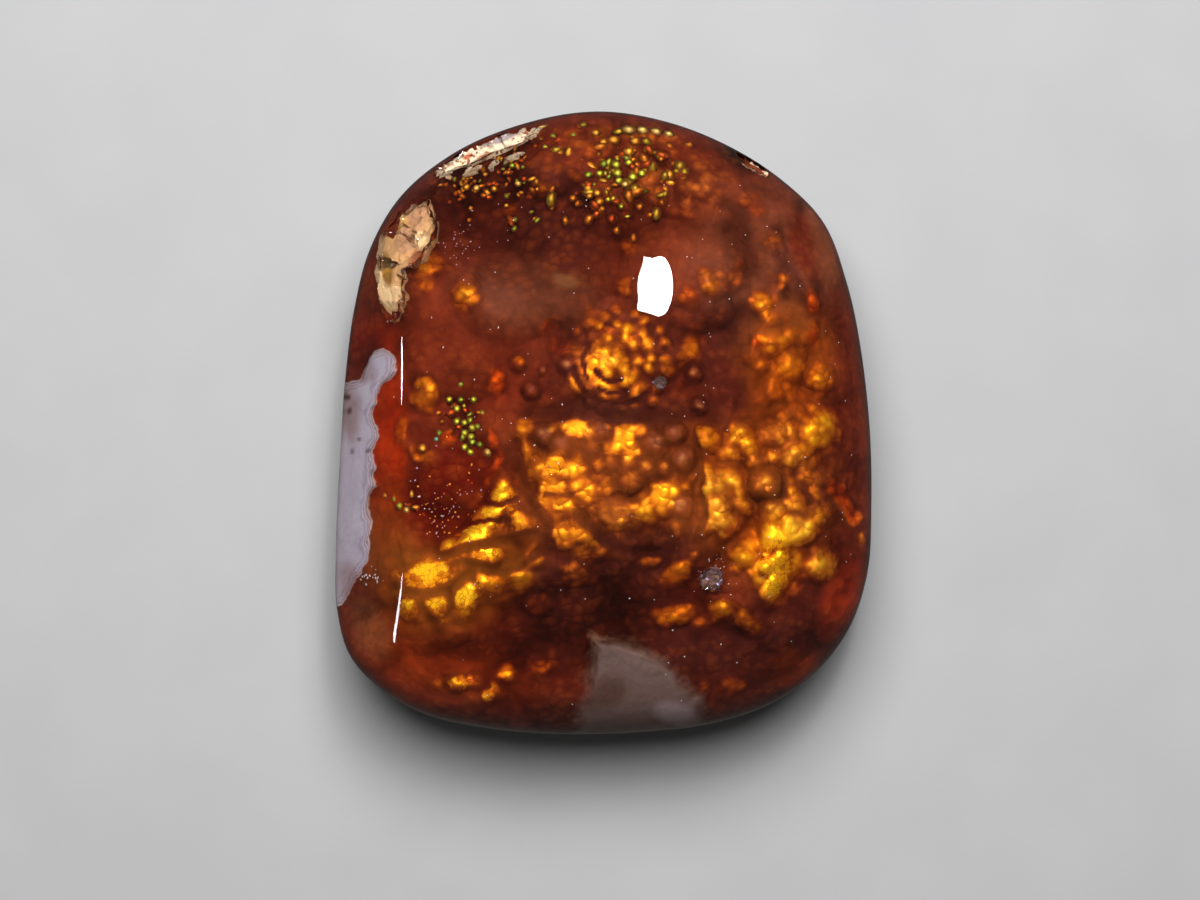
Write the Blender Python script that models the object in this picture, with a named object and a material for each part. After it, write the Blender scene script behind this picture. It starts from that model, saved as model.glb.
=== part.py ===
"""Fire agate specimen: one polished freeform stone that lies on its flat ground back.

The stone is widest at its girdle, a few millimetres up. Above the girdle it is a dome whose apex stands to the
right of the middle, with one steep facet ground along the left wall. Below the girdle it tucks in to the back.
A vug with rough matrix, two broken places on the rim and three small pits are cut into the polished surface.
Metres, +Z up; the origin is the middle of the stone's footprint, on the surface that it lies on.
"""

import bmesh
import bpy
import numpy as np
from mathutils import Euler, Matrix, Vector, noise

MM = 0.001
STONE_NAME = "fire_agate"

# Driving dimensions. The stone is 25 mm long and 21.5 mm wide.
THICKNESS = 10.0 * MM
GIRDLE_HEIGHT = 3.9 * MM
BELLY_DEPTH = 5.6 * MM  # how deep the underside would reach if the back weren't ground flat
BACK_BEVEL = 0.3 * MM
AXIS = Vector((2.0 * MM, -0.5 * MM, 0.0))  # the upright line through the dome's apex

# The girdle seen from above, in millimetres from the middle, clockwise from the top.
OUTLINE = (
    (0.0, 12.5), (2.3, 12.15), (4.75, 11.25), (7.1, 9.8), (8.8, 8.1), (9.75, 5.7),
    (10.35, 2.9), (10.7, -0.3), (10.76, -3.5), (10.55, -6.3), (9.85, -8.3), (8.7, -9.85),
    (7.1, -11.1), (4.7, -12.0), (1.5, -12.42), (-1.75, -12.5), (-5.0, -12.2), (-7.4, -11.6),
    (-9.05, -10.6), (-10.2, -9.3), (-10.7, -7.6), (-10.76, -5.2), (-10.62, -1.9), (-10.35, 2.1),
    (-10.0, 4.6), (-9.35, 7.0), (-8.2, 9.0), (-6.2, 10.7), (-3.4, 11.95),
)

# How square the dome's section is: 2 is an ellipse, and more is a flatter top on steeper sides.
CROWN_SQUARENESS = 2.25
LEFT_SQUARENESS = 3.0
BELLY_SQUARENESS = 2.3

# The facet ground along the left wall: a plane that meets the girdle there and leans in over the stone.
WALL_FOOT = Vector((-10.85 * MM, -3.5 * MM, 0.0))
WALL_TURN = np.radians(-2.0)  # how far its foot is turned from straight up the page
WALL_SLOPE = 1.75  # rise over run
RIDGE_BLEND = 1.3 * MM  # how far the ridge above it is rounded over

SEGMENTS = 80
RINGS = 48


def girdle_radius(angle):
    """Distance from the axis to the girdle at each angle, by a closed cubic curve through OUTLINE."""
    points = np.array(OUTLINE) * MM - np.array(AXIS.xy)
    at = np.arctan2(points[:, 1], points[:, 0])
    reach = np.hypot(points[:, 0], points[:, 1])[np.argsort(at)]
    at = np.sort(at)
    at = np.concatenate([at[-3:] - 2 * np.pi, at, at[:3] + 2 * np.pi])
    reach = np.concatenate([reach[-3:], reach, reach[:3]])
    slope = np.gradient(reach, at)
    i = np.searchsorted(at, angle, side="right") - 1
    step = at[i + 1] - at[i]
    t = (angle - at[i]) / step
    return (
        (2 * t**3 - 3 * t**2 + 1) * reach[i]
        + (t**3 - 2 * t**2 + t) * step * slope[i]
        + (3 * t**2 - 2 * t**3) * reach[i + 1]
        + (t**3 - t**2) * step * slope[i + 1]
    )


def crown_squareness(angle):
    """The dome is squarer towards the left wall than elsewhere."""
    towards_left = np.maximum(0.0, -np.cos(angle)) ** 2
    return CROWN_SQUARENESS + (LEFT_SQUARENESS - CROWN_SQUARENESS) * towards_left


def smooth_minimum(a, b, blend):
    """The lower of two heights, rounded over where they cross."""
    nearness = np.maximum(blend - np.abs(a - b), 0.0) / blend
    return np.minimum(a, b) - nearness**2 * blend / 4


def wall_height(share, angle):
    """Height of the left facet's plane above the girdle, which is clear of the dome everywhere but on the left."""
    reach = share * girdle_radius(angle)
    from_foot_x = AXIS.x + reach * np.cos(angle) - WALL_FOOT.x
    from_foot_y = AXIS.y + reach * np.sin(angle) - WALL_FOOT.y
    return WALL_SLOPE * (from_foot_x * np.cos(WALL_TURN) + from_foot_y * np.sin(WALL_TURN))


def crown_height(share, angle):
    """Height of the dome above its foot, share of the way from the axis to the girdle."""
    square = crown_squareness(angle)
    rise = THICKNESS - GIRDLE_HEIGHT
    dome = rise * np.maximum(1 - share**square, 0.0) ** (1 / square)
    return GIRDLE_HEIGHT + smooth_minimum(dome, wall_height(share, angle), RIDGE_BLEND)


def surface_point(x, y):
    """The point of the dome straight above or below (x, y), in metres."""
    angle = np.arctan2(y - AXIS.y, x - AXIS.x)
    share = np.hypot(x - AXIS.x, y - AXIS.y) / girdle_radius(angle)
    return Vector((x, y, float(crown_height(share, angle))))


def surface_normal(x, y):
    """The dome's outward normal there."""
    step = 0.05 * MM
    along_x = surface_point(x + step, y) - surface_point(x - step, y)
    along_y = surface_point(x, y + step) - surface_point(x, y - step)
    return along_x.cross(along_y).normalized()


def shape_as_stone(sphere):
    """Moves a unit sphere's vertices onto the stone: its equator becomes the girdle and its pole the apex."""
    for vert in sphere.verts:
        direction = vert.co.normalized()
        angle = np.arctan2(direction.y, direction.x)
        level = np.hypot(direction.x, direction.y)
        reach = float(girdle_radius(angle))
        if direction.z >= 0:
            share = float(level ** (2 / crown_squareness(angle)))
            height = float(crown_height(share, angle))
        else:
            share = float(level ** (2 / BELLY_SQUARENESS))
            height = GIRDLE_HEIGHT - BELLY_DEPTH * float(abs(direction.z) ** (2 / BELLY_SQUARENESS))
        vert.co = (
            AXIS.x + share * reach * np.cos(angle),
            AXIS.y + share * reach * np.sin(angle),
            height,
        )


def grind_back(stone):
    """Cuts the underside off flat at z = 0 and breaks the edge of the flat."""
    everything = stone.verts[:] + stone.edges[:] + stone.faces[:]
    cut = bmesh.ops.bisect_plane(
        stone, geom=everything, plane_co=(0, 0, 0), plane_no=(0, 0, -1), clear_outer=True
    )
    rim = [e for e in cut["geom_cut"] if isinstance(e, bmesh.types.BMEdge)]
    bmesh.ops.holes_fill(stone, edges=rim, sides=0)
    rim = [e for e in stone.edges if all(abs(v.co.z) < 1e-7 for v in e.verts)]
    bmesh.ops.bevel(
        stone, geom=rim, offset=BACK_BEVEL, segments=2, profile=0.5, affect="EDGES"
    )


def mesh_object(name, shape, collection, material):
    """A new object from a bmesh, with normals outwards and smooth shading below a sharp angle."""
    bmesh.ops.recalc_face_normals(shape, faces=shape.faces[:])
    mesh = bpy.data.meshes.new(name)
    shape.to_mesh(mesh)
    shape.free()
    if material is not None:
        mesh.materials.append(material)
    mesh.shade_smooth()
    mesh.set_sharp_from_angle(angle=np.radians(30.0))
    made = bpy.data.objects.new(name, mesh)
    collection.objects.link(made)
    return made


def rough_cutter(name, place_mm, half_size_mm, turn, tilt_share, collection):
    """A lumpy blob half sunk in the dome at a place seen from above, whose angular skin leaves a rough floor.

    half_size_mm is along its length, across it, and into the stone. turn is the angle of its length from +X.
    tilt_share is how far it leans with the surface: 1 follows the slope, 0 stays upright.
    """
    x, y = place_mm[0] * MM, place_mm[1] * MM
    blob = bmesh.new()
    bmesh.ops.create_icosphere(blob, subdivisions=3, radius=1.0)
    for vert in blob.verts:
        spot = vert.co * 2.6 + Vector((x, y, 0.0)) / MM
        vert.co *= 1.0 + 0.22 * noise.noise(spot) + 0.10 * noise.cell(spot * 1.7)
        vert.co = Vector(vert.co[i] * half_size_mm[i] * MM for i in range(3))
    cutter = mesh_object(name, blob, collection, None)
    upright = Vector((0.0, 0.0, 1.0))
    lean = upright.rotation_difference(upright.lerp(surface_normal(x, y), tilt_share).normalized())
    cutter.matrix_world = (
        Matrix.Translation(surface_point(x, y))
        @ lean.to_matrix().to_4x4()
        @ Euler((0.0, 0.0, turn)).to_matrix().to_4x4()
    )
    cutter.hide_render = True
    cutter.display_type = "WIRE"
    return cutter


def cut(stone, cutter):
    """Takes the cutter's shape out of the stone."""
    boolean = stone.modifiers.new(cutter.name, "BOOLEAN")
    boolean.operation = "DIFFERENCE"
    boolean.solver = "EXACT"
    boolean.object = cutter


def polished_agate():
    """Red-brown chalcedony with a high polish."""
    material = bpy.data.materials.new("polished_agate")
    material.use_nodes = True
    shader = material.node_tree.nodes["Principled BSDF"]
    shader.inputs["Base Color"].default_value = (0.30, 0.075, 0.018, 1.0)
    shader.inputs["Roughness"].default_value = 0.06
    shader.inputs["Metallic"].default_value = 0.0
    shader.inputs["IOR"].default_value = 1.54
    return material


def new_collection(name):
    """A collection of that name in the scene."""
    collection = bpy.data.collections.new(name)
    bpy.context.scene.collection.children.link(collection)
    return collection


def main():
    """Clears the scene and builds the stone."""
    for old in list(bpy.data.objects):
        bpy.data.objects.remove(old)
    parts = new_collection("fire_agate_specimen")
    cutters = new_collection("cutters")

    body = bmesh.new()
    bmesh.ops.create_uvsphere(body, u_segments=SEGMENTS, v_segments=RINGS, radius=1.0)
    shape_as_stone(body)
    grind_back(body)
    stone = mesh_object(STONE_NAME, body, parts, polished_agate())

    hollows = (
        # name, place, half size, turn in degrees, tilt share
        ("matrix_vug", (-7.85, 7.45), (1.5, 1.35, 0.95), 75.0, 0.5),
        ("matrix_vug_tail", (-8.45, 5.6), (1.6, 0.85, 0.8), 98.0, 0.5),
        ("crust_on_left_rim", (-4.7, 10.95), (2.2, 0.75, 0.6), 24.0, 0.5),
        ("chip_on_right_rim", (6.0, 10.3), (0.85, 0.55, 0.6), -38.0, 0.5),
        ("pit_by_the_rosette", (2.2, 1.5), (0.26, 0.24, 0.16), 20.0, 1.0),
        ("pit_on_the_left", (-2.0, -1.75), (0.34, 0.26, 0.2), -35.0, 1.0),
        ("druse_pit", (4.2, -6.15), (0.5, 0.42, 0.28), 40.0, 1.0),
    )
    for name, place, half_size, turn, tilt_share in hollows:
        cut(stone, rough_cutter(name, place, half_size, np.radians(turn), tilt_share, cutters))


main()
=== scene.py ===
"""Dresses the fire agate: a clear amber skin over lumpy, fire-bearing layers, with matrix in its vug.

The skin follows the CAD solid's own rule. What lies under it is laid out in the plan that an eye straight
above sees. Each point then sinks along its bent line of sight, so that the skin's refraction shows it in its
place.
"""

import logging
import math
from dataclasses import dataclass, field
from enum import Enum
from functools import cached_property
from typing import Any, Iterable, Sequence

import bmesh
import bpy
import numpy as np
from mathutils import Euler, Matrix, Vector, noise


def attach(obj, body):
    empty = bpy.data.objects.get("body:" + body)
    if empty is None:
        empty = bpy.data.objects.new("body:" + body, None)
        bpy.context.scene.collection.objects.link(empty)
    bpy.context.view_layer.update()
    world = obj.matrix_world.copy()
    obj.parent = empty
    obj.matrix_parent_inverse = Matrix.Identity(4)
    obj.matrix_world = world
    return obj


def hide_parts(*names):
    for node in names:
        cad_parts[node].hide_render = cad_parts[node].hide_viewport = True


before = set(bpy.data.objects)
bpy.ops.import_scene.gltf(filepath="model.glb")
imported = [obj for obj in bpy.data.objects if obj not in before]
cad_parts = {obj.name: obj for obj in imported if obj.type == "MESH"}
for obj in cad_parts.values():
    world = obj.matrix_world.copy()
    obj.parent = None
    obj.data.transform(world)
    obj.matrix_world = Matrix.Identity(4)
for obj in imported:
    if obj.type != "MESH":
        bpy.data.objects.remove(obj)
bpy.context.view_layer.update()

MM = 0.001
NODE = "fire_agate"
BODY = "root"
REFRACTION = 1.54

Array = np.ndarray
Colour = tuple[float, float, float]

log = logging.getLogger("fire_agate")


# ---------------------------------------------------------------- shader maths


class Signal:
    """A socket that takes part in Python arithmetic, where each operator adds its Math node."""

    def __init__(self, maker: "NodeMaker", socket: Any) -> None:
        """Wraps a socket.

        Args:
            maker: the maker that owns the tree.
            socket: the output socket to wrap.
        """
        self.maker = maker
        self.socket = socket

    def _math(self, operation: str, *values: Any) -> "Signal":
        """A Math node of that operation on these values."""
        return self.maker.add("ShaderNodeMath", {"operation": operation}, dict(enumerate(values)))

    def __add__(self, other: Any) -> "Signal":
        """self + other."""
        return self._math("ADD", self, other)

    __radd__ = __add__

    def __mul__(self, other: Any) -> "Signal":
        """self * other."""
        return self._math("MULTIPLY", self, other)

    __rmul__ = __mul__

    def __sub__(self, other: Any) -> "Signal":
        """self - other."""
        return self._math("SUBTRACT", self, other)

    def __rsub__(self, other: Any) -> "Signal":
        """other - self."""
        return self._math("SUBTRACT", other, self)

    def __truediv__(self, other: Any) -> "Signal":
        """self / other."""
        return self._math("DIVIDE", self, other)

    def step(self, low: float, high: float) -> "Signal":
        """A smooth step from 0 at low to 1 at high."""
        return self.maker.add(
            "ShaderNodeMapRange",
            {"interpolation_type": "SMOOTHSTEP"},
            {"Value": self, "From Min": low, "From Max": high},
        )

    def at_most(self, other: Any) -> "Signal":
        """The lower of the two."""
        return self._math("MINIMUM", self, other)

    def at_least(self, other: Any) -> "Signal":
        """The higher of the two."""
        return self._math("MAXIMUM", self, other)


class NodeMaker:
    """Adds nodes to one material's tree."""

    def __init__(self, name: str) -> None:
        """Starts a material with a lone Principled shader.

        Args:
            name: the material's name.
        """
        self.material = bpy.data.materials.new(name)
        self.material.use_nodes = True
        self.tree = self.material.node_tree
        self.shader = self.tree.nodes["Principled BSDF"]

    def add(
        self, kind: str, settings: dict[str, Any], inputs: dict[Any, Any], output: Any = 0
    ) -> Signal:
        """Adds a node.

        Args:
            kind: the node's type.
            settings: its own settings, set first. "stops" are a ramp's (place, colour) pairs.
            inputs: values or signals for its sockets, by name or number.
            output: the socket to return.

        Returns:
            The node's output.
        """
        node = self.tree.nodes.new(kind)
        for key, value in settings.items():
            if key == "stops":
                self._set_stops(node.color_ramp, value)
            else:
                setattr(node, key, value)
        for key, value in inputs.items():
            self.feed(node.inputs[key], value)
        return Signal(self, node.outputs[output])

    @staticmethod
    def _set_stops(ramp: Any, stops: Sequence[tuple[float, Colour]]) -> None:
        """Replaces a ramp's stops.

        Args:
            ramp: the ramp.
            stops: its (place, colour) pairs, in order.
        """
        while len(ramp.elements) > 1:
            ramp.elements.remove(ramp.elements[-1])
        ramp.elements[0].position, ramp.elements[0].color = stops[0][0], (*stops[0][1], 1.0)
        for place, colour in stops[1:]:
            ramp.elements.new(place).color = (*colour, 1.0)

    def feed(self, socket: Any, value: Any) -> None:
        """Links a signal to a socket, or sets the socket's own value.

        Args:
            socket: the input socket.
            value: a signal, a number, or a colour or vector.
        """
        if isinstance(value, Signal):
            self.tree.links.new(value.socket, socket)
        elif isinstance(value, tuple) and socket.type == "RGBA":
            socket.default_value = (*value, 1.0)
        else:
            socket.default_value = value

    def place(self, scale: float = 1.0) -> Signal:
        """Object coordinates in millimetres, times scale."""
        where = self.add("ShaderNodeTexCoord", {}, {}, "Object")
        return self.add(
            "ShaderNodeVectorMath", {"operation": "SCALE"}, {0: where, "Scale": scale / MM}
        )

    def attribute(self, name: str, output: str = "Fac") -> Signal:
        """A mesh attribute, as its number or its colour."""
        return self.add("ShaderNodeAttribute", {"attribute_name": name}, {}, output)

    def mix(self, share: Any, a: Any, b: Any, blend: str = "MIX") -> Signal:
        """Colour a turned into colour b by share.

        Args:
            share: 0 for a, 1 for b.
            a: the first colour.
            b: the second colour.
            blend: how b goes on a.

        Returns:
            The mixed colour.
        """
        node = self.tree.nodes.new("ShaderNodeMix")
        node.data_type = "RGBA"
        node.blend_type = blend
        self.feed(node.inputs[0], share)
        self.feed(node.inputs[6], a)
        self.feed(node.inputs[7], b)
        return Signal(self, node.outputs[2])

    def noise(self, where: Signal, scale: float, detail: float = 2.0, **more: float) -> Signal:
        """Noise of so many waves a millimetre.

        Args:
            where: coordinates in millimetres.
            scale: waves a millimetre.
            detail: how many finer octaves it has.
            **more: values for its other sockets.

        Returns:
            The noise, from 0 to 1.
        """
        inputs = {"Vector": where, "Scale": scale, "Detail": detail, **more}
        return self.add("ShaderNodeTexNoise", {}, inputs, 0)

    def cells(self, where: Signal, scale: float, feature: str, output: str) -> Signal:
        """Voronoi cells of so many a millimetre."""
        inputs = {"Vector": where, "Scale": scale}
        return self.add("ShaderNodeTexVoronoi", {"feature": feature}, inputs, output)

    def vector(self, operation: str, *values: Any, output: Any = 0) -> Signal:
        """A Vector Math node of that operation on these values."""
        return self.add("ShaderNodeVectorMath", {"operation": operation}, dict(enumerate(values)), output)

    def grey(self, level: Signal) -> Signal:
        """A grey of that level."""
        return self.add("ShaderNodeCombineColor", {}, {0: level, 1: level, 2: level})

    def bump(self, height: Signal, distance_mm: float, strength: float = 1.0) -> Signal:
        """A bumped normal, for a height from 0 to 1 over distance_mm."""
        inputs = {"Strength": strength, "Distance": distance_mm * MM, "Height": height}
        return self.add("ShaderNodeBump", {}, inputs, "Normal")

    def finish(self, **sockets: Any) -> bpy.types.Material:
        """Feeds the Principled shader's sockets.

        Args:
            **sockets: values by socket name, with _ for each space.

        Returns:
            The material.
        """
        for name, value in sockets.items():
            self.feed(self.shader.inputs[name.replace("_", " ")], value)
        return self.material


# ---------------------------------------------------------------- the stone's form


@dataclass(frozen=True)
class StoneForm:
    """The polished skin, by the CAD solid's own rule. Lengths are in millimetres."""

    thickness: float = 10.0
    girdle_height: float = 3.9
    belly_depth: float = 5.6
    back_bevel: float = 0.3
    axis: tuple[float, float] = (2.0, -0.5)
    crown_squareness: float = 2.25
    left_squareness: float = 3.0
    belly_squareness: float = 2.3
    wall_foot: tuple[float, float] = (-10.85, -3.5)
    wall_turn: float = math.radians(-2.0)
    wall_slope: float = 1.75
    ridge_blend: float = 1.3
    outline: tuple[tuple[float, float], ...] = (
        (0.0, 12.5), (2.3, 12.15), (4.75, 11.25), (7.1, 9.8), (8.8, 8.1), (9.75, 5.7),
        (10.35, 2.9), (10.7, -0.3), (10.76, -3.5), (10.55, -6.3), (9.85, -8.3), (8.7, -9.85),
        (7.1, -11.1), (4.7, -12.0), (1.5, -12.42), (-1.75, -12.5), (-5.0, -12.2), (-7.4, -11.6),
        (-9.05, -10.6), (-10.2, -9.3), (-10.7, -7.6), (-10.76, -5.2), (-10.62, -1.9),
        (-10.35, 2.1), (-10.0, 4.6), (-9.35, 7.0), (-8.2, 9.0), (-6.2, 10.7), (-3.4, 11.95),
    )

    @cached_property
    def _knots(self) -> tuple[Array, Array, Array]:
        """The outline's angles, its reach from the axis at each, and how the reach changes there."""
        points = np.array(self.outline) - np.array(self.axis)
        at = np.arctan2(points[:, 1], points[:, 0])
        order = np.argsort(at)
        at, reach = at[order], np.hypot(points[:, 0], points[:, 1])[order]
        at = np.concatenate([at[-3:] - 2 * np.pi, at, at[:3] + 2 * np.pi])
        reach = np.concatenate([reach[-3:], reach, reach[:3]])
        return at, reach, np.gradient(reach, at)

    def girdle_radius(self, angle: Array) -> Array:
        """Distance from the axis to the girdle at each angle."""
        at, reach, slope = self._knots
        i = np.searchsorted(at, angle, side="right") - 1
        step = at[i + 1] - at[i]
        t = (angle - at[i]) / step
        return (
            (2 * t**3 - 3 * t**2 + 1) * reach[i]
            + (t**3 - 2 * t**2 + t) * step * slope[i]
            + (3 * t**2 - 2 * t**3) * reach[i + 1]
            + (t**3 - t**2) * step * slope[i + 1]
        )

    def squareness(self, angle: Array) -> Array:
        """How square the dome's section is, which is more towards the left wall."""
        towards_left = np.maximum(0.0, -np.cos(angle)) ** 2
        return self.crown_squareness + (self.left_squareness - self.crown_squareness) * towards_left

    def crown_height(self, share: Array, angle: Array) -> Array:
        """Height of the dome.

        Args:
            share: how far out, 0 at the axis and 1 at the girdle.
            angle: the direction from the axis.

        Returns:
            Heights above the surface that the stone lies on.
        """
        square = self.squareness(angle)
        rise = self.thickness - self.girdle_height
        dome = rise * np.maximum(1 - share**square, 0.0) ** (1 / square)
        reach = share * self.girdle_radius(angle)
        from_x = self.axis[0] + reach * np.cos(angle) - self.wall_foot[0]
        from_y = self.axis[1] + reach * np.sin(angle) - self.wall_foot[1]
        wall = self.wall_slope * (from_x * np.cos(self.wall_turn) + from_y * np.sin(self.wall_turn))
        nearness = np.maximum(self.ridge_blend - np.abs(dome - wall), 0.0) / self.ridge_blend
        return self.girdle_height + np.minimum(dome, wall) - nearness**2 * self.ridge_blend / 4

    def ground(self, height: Array) -> Array:
        """Heights of the underside after its back is ground flat, with the edge of the flat broken."""
        nearness = np.maximum(self.back_bevel - np.abs(height), 0.0) / self.back_bevel
        return np.maximum(height, 0.0) + nearness**2 * self.back_bevel / 4

    def polar(self, x: Array, y: Array) -> tuple[Array, Array]:
        """The share and the angle of places in plan."""
        angle = np.arctan2(y - self.axis[1], x - self.axis[0])
        share = np.hypot(x - self.axis[0], y - self.axis[1]) / self.girdle_radius(angle)
        return share, angle

    def top(self, x: Array, y: Array) -> Array:
        """Height of the dome at places in plan."""
        return self.crown_height(*self.polar(x, y))

    def normal(self, x: Array, y: Array) -> Array:
        """The dome's outward normals at places in plan, one row each."""
        step = 0.02
        along_x = (self.top(x + step, y) - self.top(x - step, y)) / (2 * step)
        along_y = (self.top(x, y + step) - self.top(x, y - step)) / (2 * step)
        out = np.stack([-along_x, -along_y, np.ones_like(along_x)], axis=-1)
        return out / np.linalg.norm(out, axis=-1, keepdims=True)

    def sight(self, x: Array, y: Array) -> Array:
        """The direction that a look from straight above takes inside the stone, one row for each place."""
        normal = self.normal(x, y)
        enter = normal[..., 2:3]
        inside = np.sqrt(1 - (1 - enter**2) / REFRACTION**2)
        down = np.array([0.0, 0.0, -1.0])
        return down / REFRACTION + (enter / REFRACTION - inside) * normal

    def sunk(self, x: Array, y: Array, depth: Array) -> Array:
        """Points that are seen at places in plan, at a depth along the line of sight."""
        start = np.stack([x, y, self.top(x, y)], axis=-1)
        return start + self.sight(x, y) * np.asarray(depth)[..., None]

    def side_share(self, height: Array, angle: Array) -> Array:
        """How far out the skin is at a height, above the girdle or below it."""
        low, high = np.zeros_like(height), np.ones_like(height)
        for _ in range(22):
            middle = (low + high) / 2
            above = self.crown_height(middle, angle) > height
            low, high = np.where(above, middle, low), np.where(above, high, middle)
        sunk = np.clip((self.girdle_height - height) / self.belly_depth, 0.0, 1.0)
        belly = (1 - sunk**self.belly_squareness) ** (1 / self.belly_squareness)
        return np.where(height > self.girdle_height, low, belly)


FORM = StoneForm()


# ---------------------------------------------------------------- modelling helpers


def deselect_all() -> None:
    """Leaves nothing selected, in object mode."""
    if bpy.context.object is not None and bpy.context.object.mode != "OBJECT":
        bpy.ops.object.mode_set(mode="OBJECT")
    for each in bpy.context.selected_objects:
        each.select_set(False)


def make_active(piece: bpy.types.Object) -> None:
    """Selects one piece alone and makes it the active one."""
    deselect_all()
    piece.select_set(True)
    bpy.context.view_layer.objects.active = piece


def named_new(name: str) -> bpy.types.Object:
    """Names the primitive that was just added."""
    piece = bpy.context.object
    piece.name = piece.data.name = name
    return piece


def points_of(piece: bpy.types.Object) -> Array:
    """A piece's vertices in millimetres, one row each."""
    flat = np.empty(len(piece.data.vertices) * 3)
    piece.data.vertices.foreach_get("co", flat)
    return flat.reshape(-1, 3) / MM


def put_points(piece: bpy.types.Object, points: Array) -> None:
    """Moves a piece's vertices to these places in millimetres."""
    piece.data.vertices.foreach_set("co", (points * MM).ravel())
    piece.data.update()


def put_attribute(piece: bpy.types.Object, name: str, values: Array) -> None:
    """Gives each vertex a number, or a colour where values has three columns.

    Args:
        piece: the piece.
        name: the attribute's name.
        values: one row for each vertex.
    """
    if values.ndim == 1:
        piece.data.attributes.new(name, "FLOAT", "POINT").data.foreach_set(
            "value", values.astype(np.float32)
        )
        return
    opaque = np.concatenate([values, np.ones((len(values), 1))], axis=1).astype(np.float32)
    piece.data.attributes.new(name, "FLOAT_COLOR", "POINT").data.foreach_set("color", opaque.ravel())


def apply_modifier(piece: bpy.types.Object, kind: str, **settings: Any) -> None:
    """Adds a modifier with these settings and applies it."""
    make_active(piece)
    modifier = piece.modifiers.new(kind.lower(), kind)
    for key, value in settings.items():
        setattr(modifier, key, value)
    bpy.ops.object.modifier_apply(modifier=modifier.name)


def set_place(piece: bpy.types.Object) -> None:
    """Moves a piece's place and turn into its mesh."""
    make_active(piece)
    bpy.ops.object.transform_apply(location=True, rotation=True, scale=True)


def join(pieces: Sequence[bpy.types.Object], name: str) -> bpy.types.Object:
    """Joins pieces into one of that name."""
    deselect_all()
    for each in pieces:
        each.select_set(True)
    bpy.context.view_layer.objects.active = pieces[0]
    bpy.ops.object.join()
    return named_new(name)


def fill_open_rim(piece: bpy.types.Object) -> None:
    """Closes a piece's open edge with one face and turns all faces outwards."""
    make_active(piece)
    bpy.ops.object.mode_set(mode="EDIT")
    bpy.ops.mesh.select_mode(type="EDGE")
    bpy.ops.mesh.select_all(action="DESELECT")
    bpy.ops.mesh.select_non_manifold()
    bpy.ops.mesh.edge_face_add()
    bpy.ops.mesh.select_all(action="SELECT")
    bpy.ops.mesh.normals_make_consistent(inside=False)
    bpy.ops.object.mode_set(mode="OBJECT")


def dress(piece: bpy.types.Object, material: bpy.types.Material, smooth: float = 180.0) -> None:
    """Gives a piece its one material, shades it, and lets it ride with the stone.

    Args:
        piece: the piece.
        material: its finish.
        smooth: faces that meet at a smaller angle than this, in degrees, are shaded as one.
    """
    make_active(piece)
    piece.data.materials.clear()
    piece.data.materials.append(material)
    if smooth >= 180.0:
        bpy.ops.object.shade_smooth()
    else:
        bpy.ops.object.shade_smooth_by_angle(angle=math.radians(smooth))
    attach(piece, BODY)
    log.info("%s: %d faces", piece.name, len(piece.data.polygons))


# ---------------------------------------------------------------- colours and marks in plan


class Tint(Enum):
    """Stains of the ground under the skin, as linear colours."""

    MAHOGANY = (0.115, 0.0165, 0.0075)
    PLUM = (0.036, 0.0078, 0.0085)
    RUST = (0.186, 0.0273, 0.00273)
    OCHRE = (0.251, 0.0682, 0.00546)
    SCARLET = (0.273, 0.0246, 0.00546)
    BLOOD = (0.0764, 0.00382, 0.00164)
    SMOKE = (0.17, 0.068, 0.042)
    TAN = (0.284, 0.147, 0.0655)
    CREAM = (0.36, 0.278, 0.191)
    BLACK = (0.00437, 0.00273, 0.00273)
    LILAC = (0.40, 0.375, 0.467)
    FLAME = (0.33, 0.022, 0.0005)
    GREY = (0.147, 0.115, 0.12)
    UMBER = (0.0655, 0.03, 0.0191)
    AMBER = (0.218, 0.0819, 0.0164)
    BRICK = (0.142, 0.0382, 0.0164)
    FACET = (0.215, 0.112, 0.045)
    BUFF = (0.31, 0.20, 0.098)
    GOLDEN = (0.25, 0.125, 0.03)
    FAWN = (0.16, 0.078, 0.04)
    RECESS = (0.109, 0.0491, 0.00655)


class Cast(Enum):
    """What a bubble's heat colour is multiplied by."""

    PLAIN = (1.0, 1.0, 1.0)
    LEMON = (1.0, 1.06, 1.0)
    OLIVE = (1.06, 0.92, 0.7)
    MOSS = (0.96, 1.08, 2.2)
    RED = (1.0, 0.45, 0.5)
    ROSE = (0.75, 1.3, 9.0)


@dataclass(frozen=True)
class Oval:
    """A soft-edged oval in plan, in millimetres and degrees."""

    x: float
    y: float
    rx: float
    ry: float
    turn: float = 0.0

    def distance(self, x: Array, y: Array) -> Array:
        """How far out places are, where 1 is the oval's edge."""
        c, s = math.cos(math.radians(self.turn)), math.sin(math.radians(self.turn))
        along = (x - self.x) * c + (y - self.y) * s
        across = (y - self.y) * c - (x - self.x) * s
        return np.hypot(along / self.rx, across / self.ry)

    def cover(self, x: Array, y: Array, soft: float = 0.5) -> Array:
        """1 within the shape and 0 outside it, with an edge that is soft times its size wide."""
        t = np.clip((1 + soft / 2 - self.distance(x, y)) / soft, 0.0, 1.0)
        return t * t * (3 - 2 * t)


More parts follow.
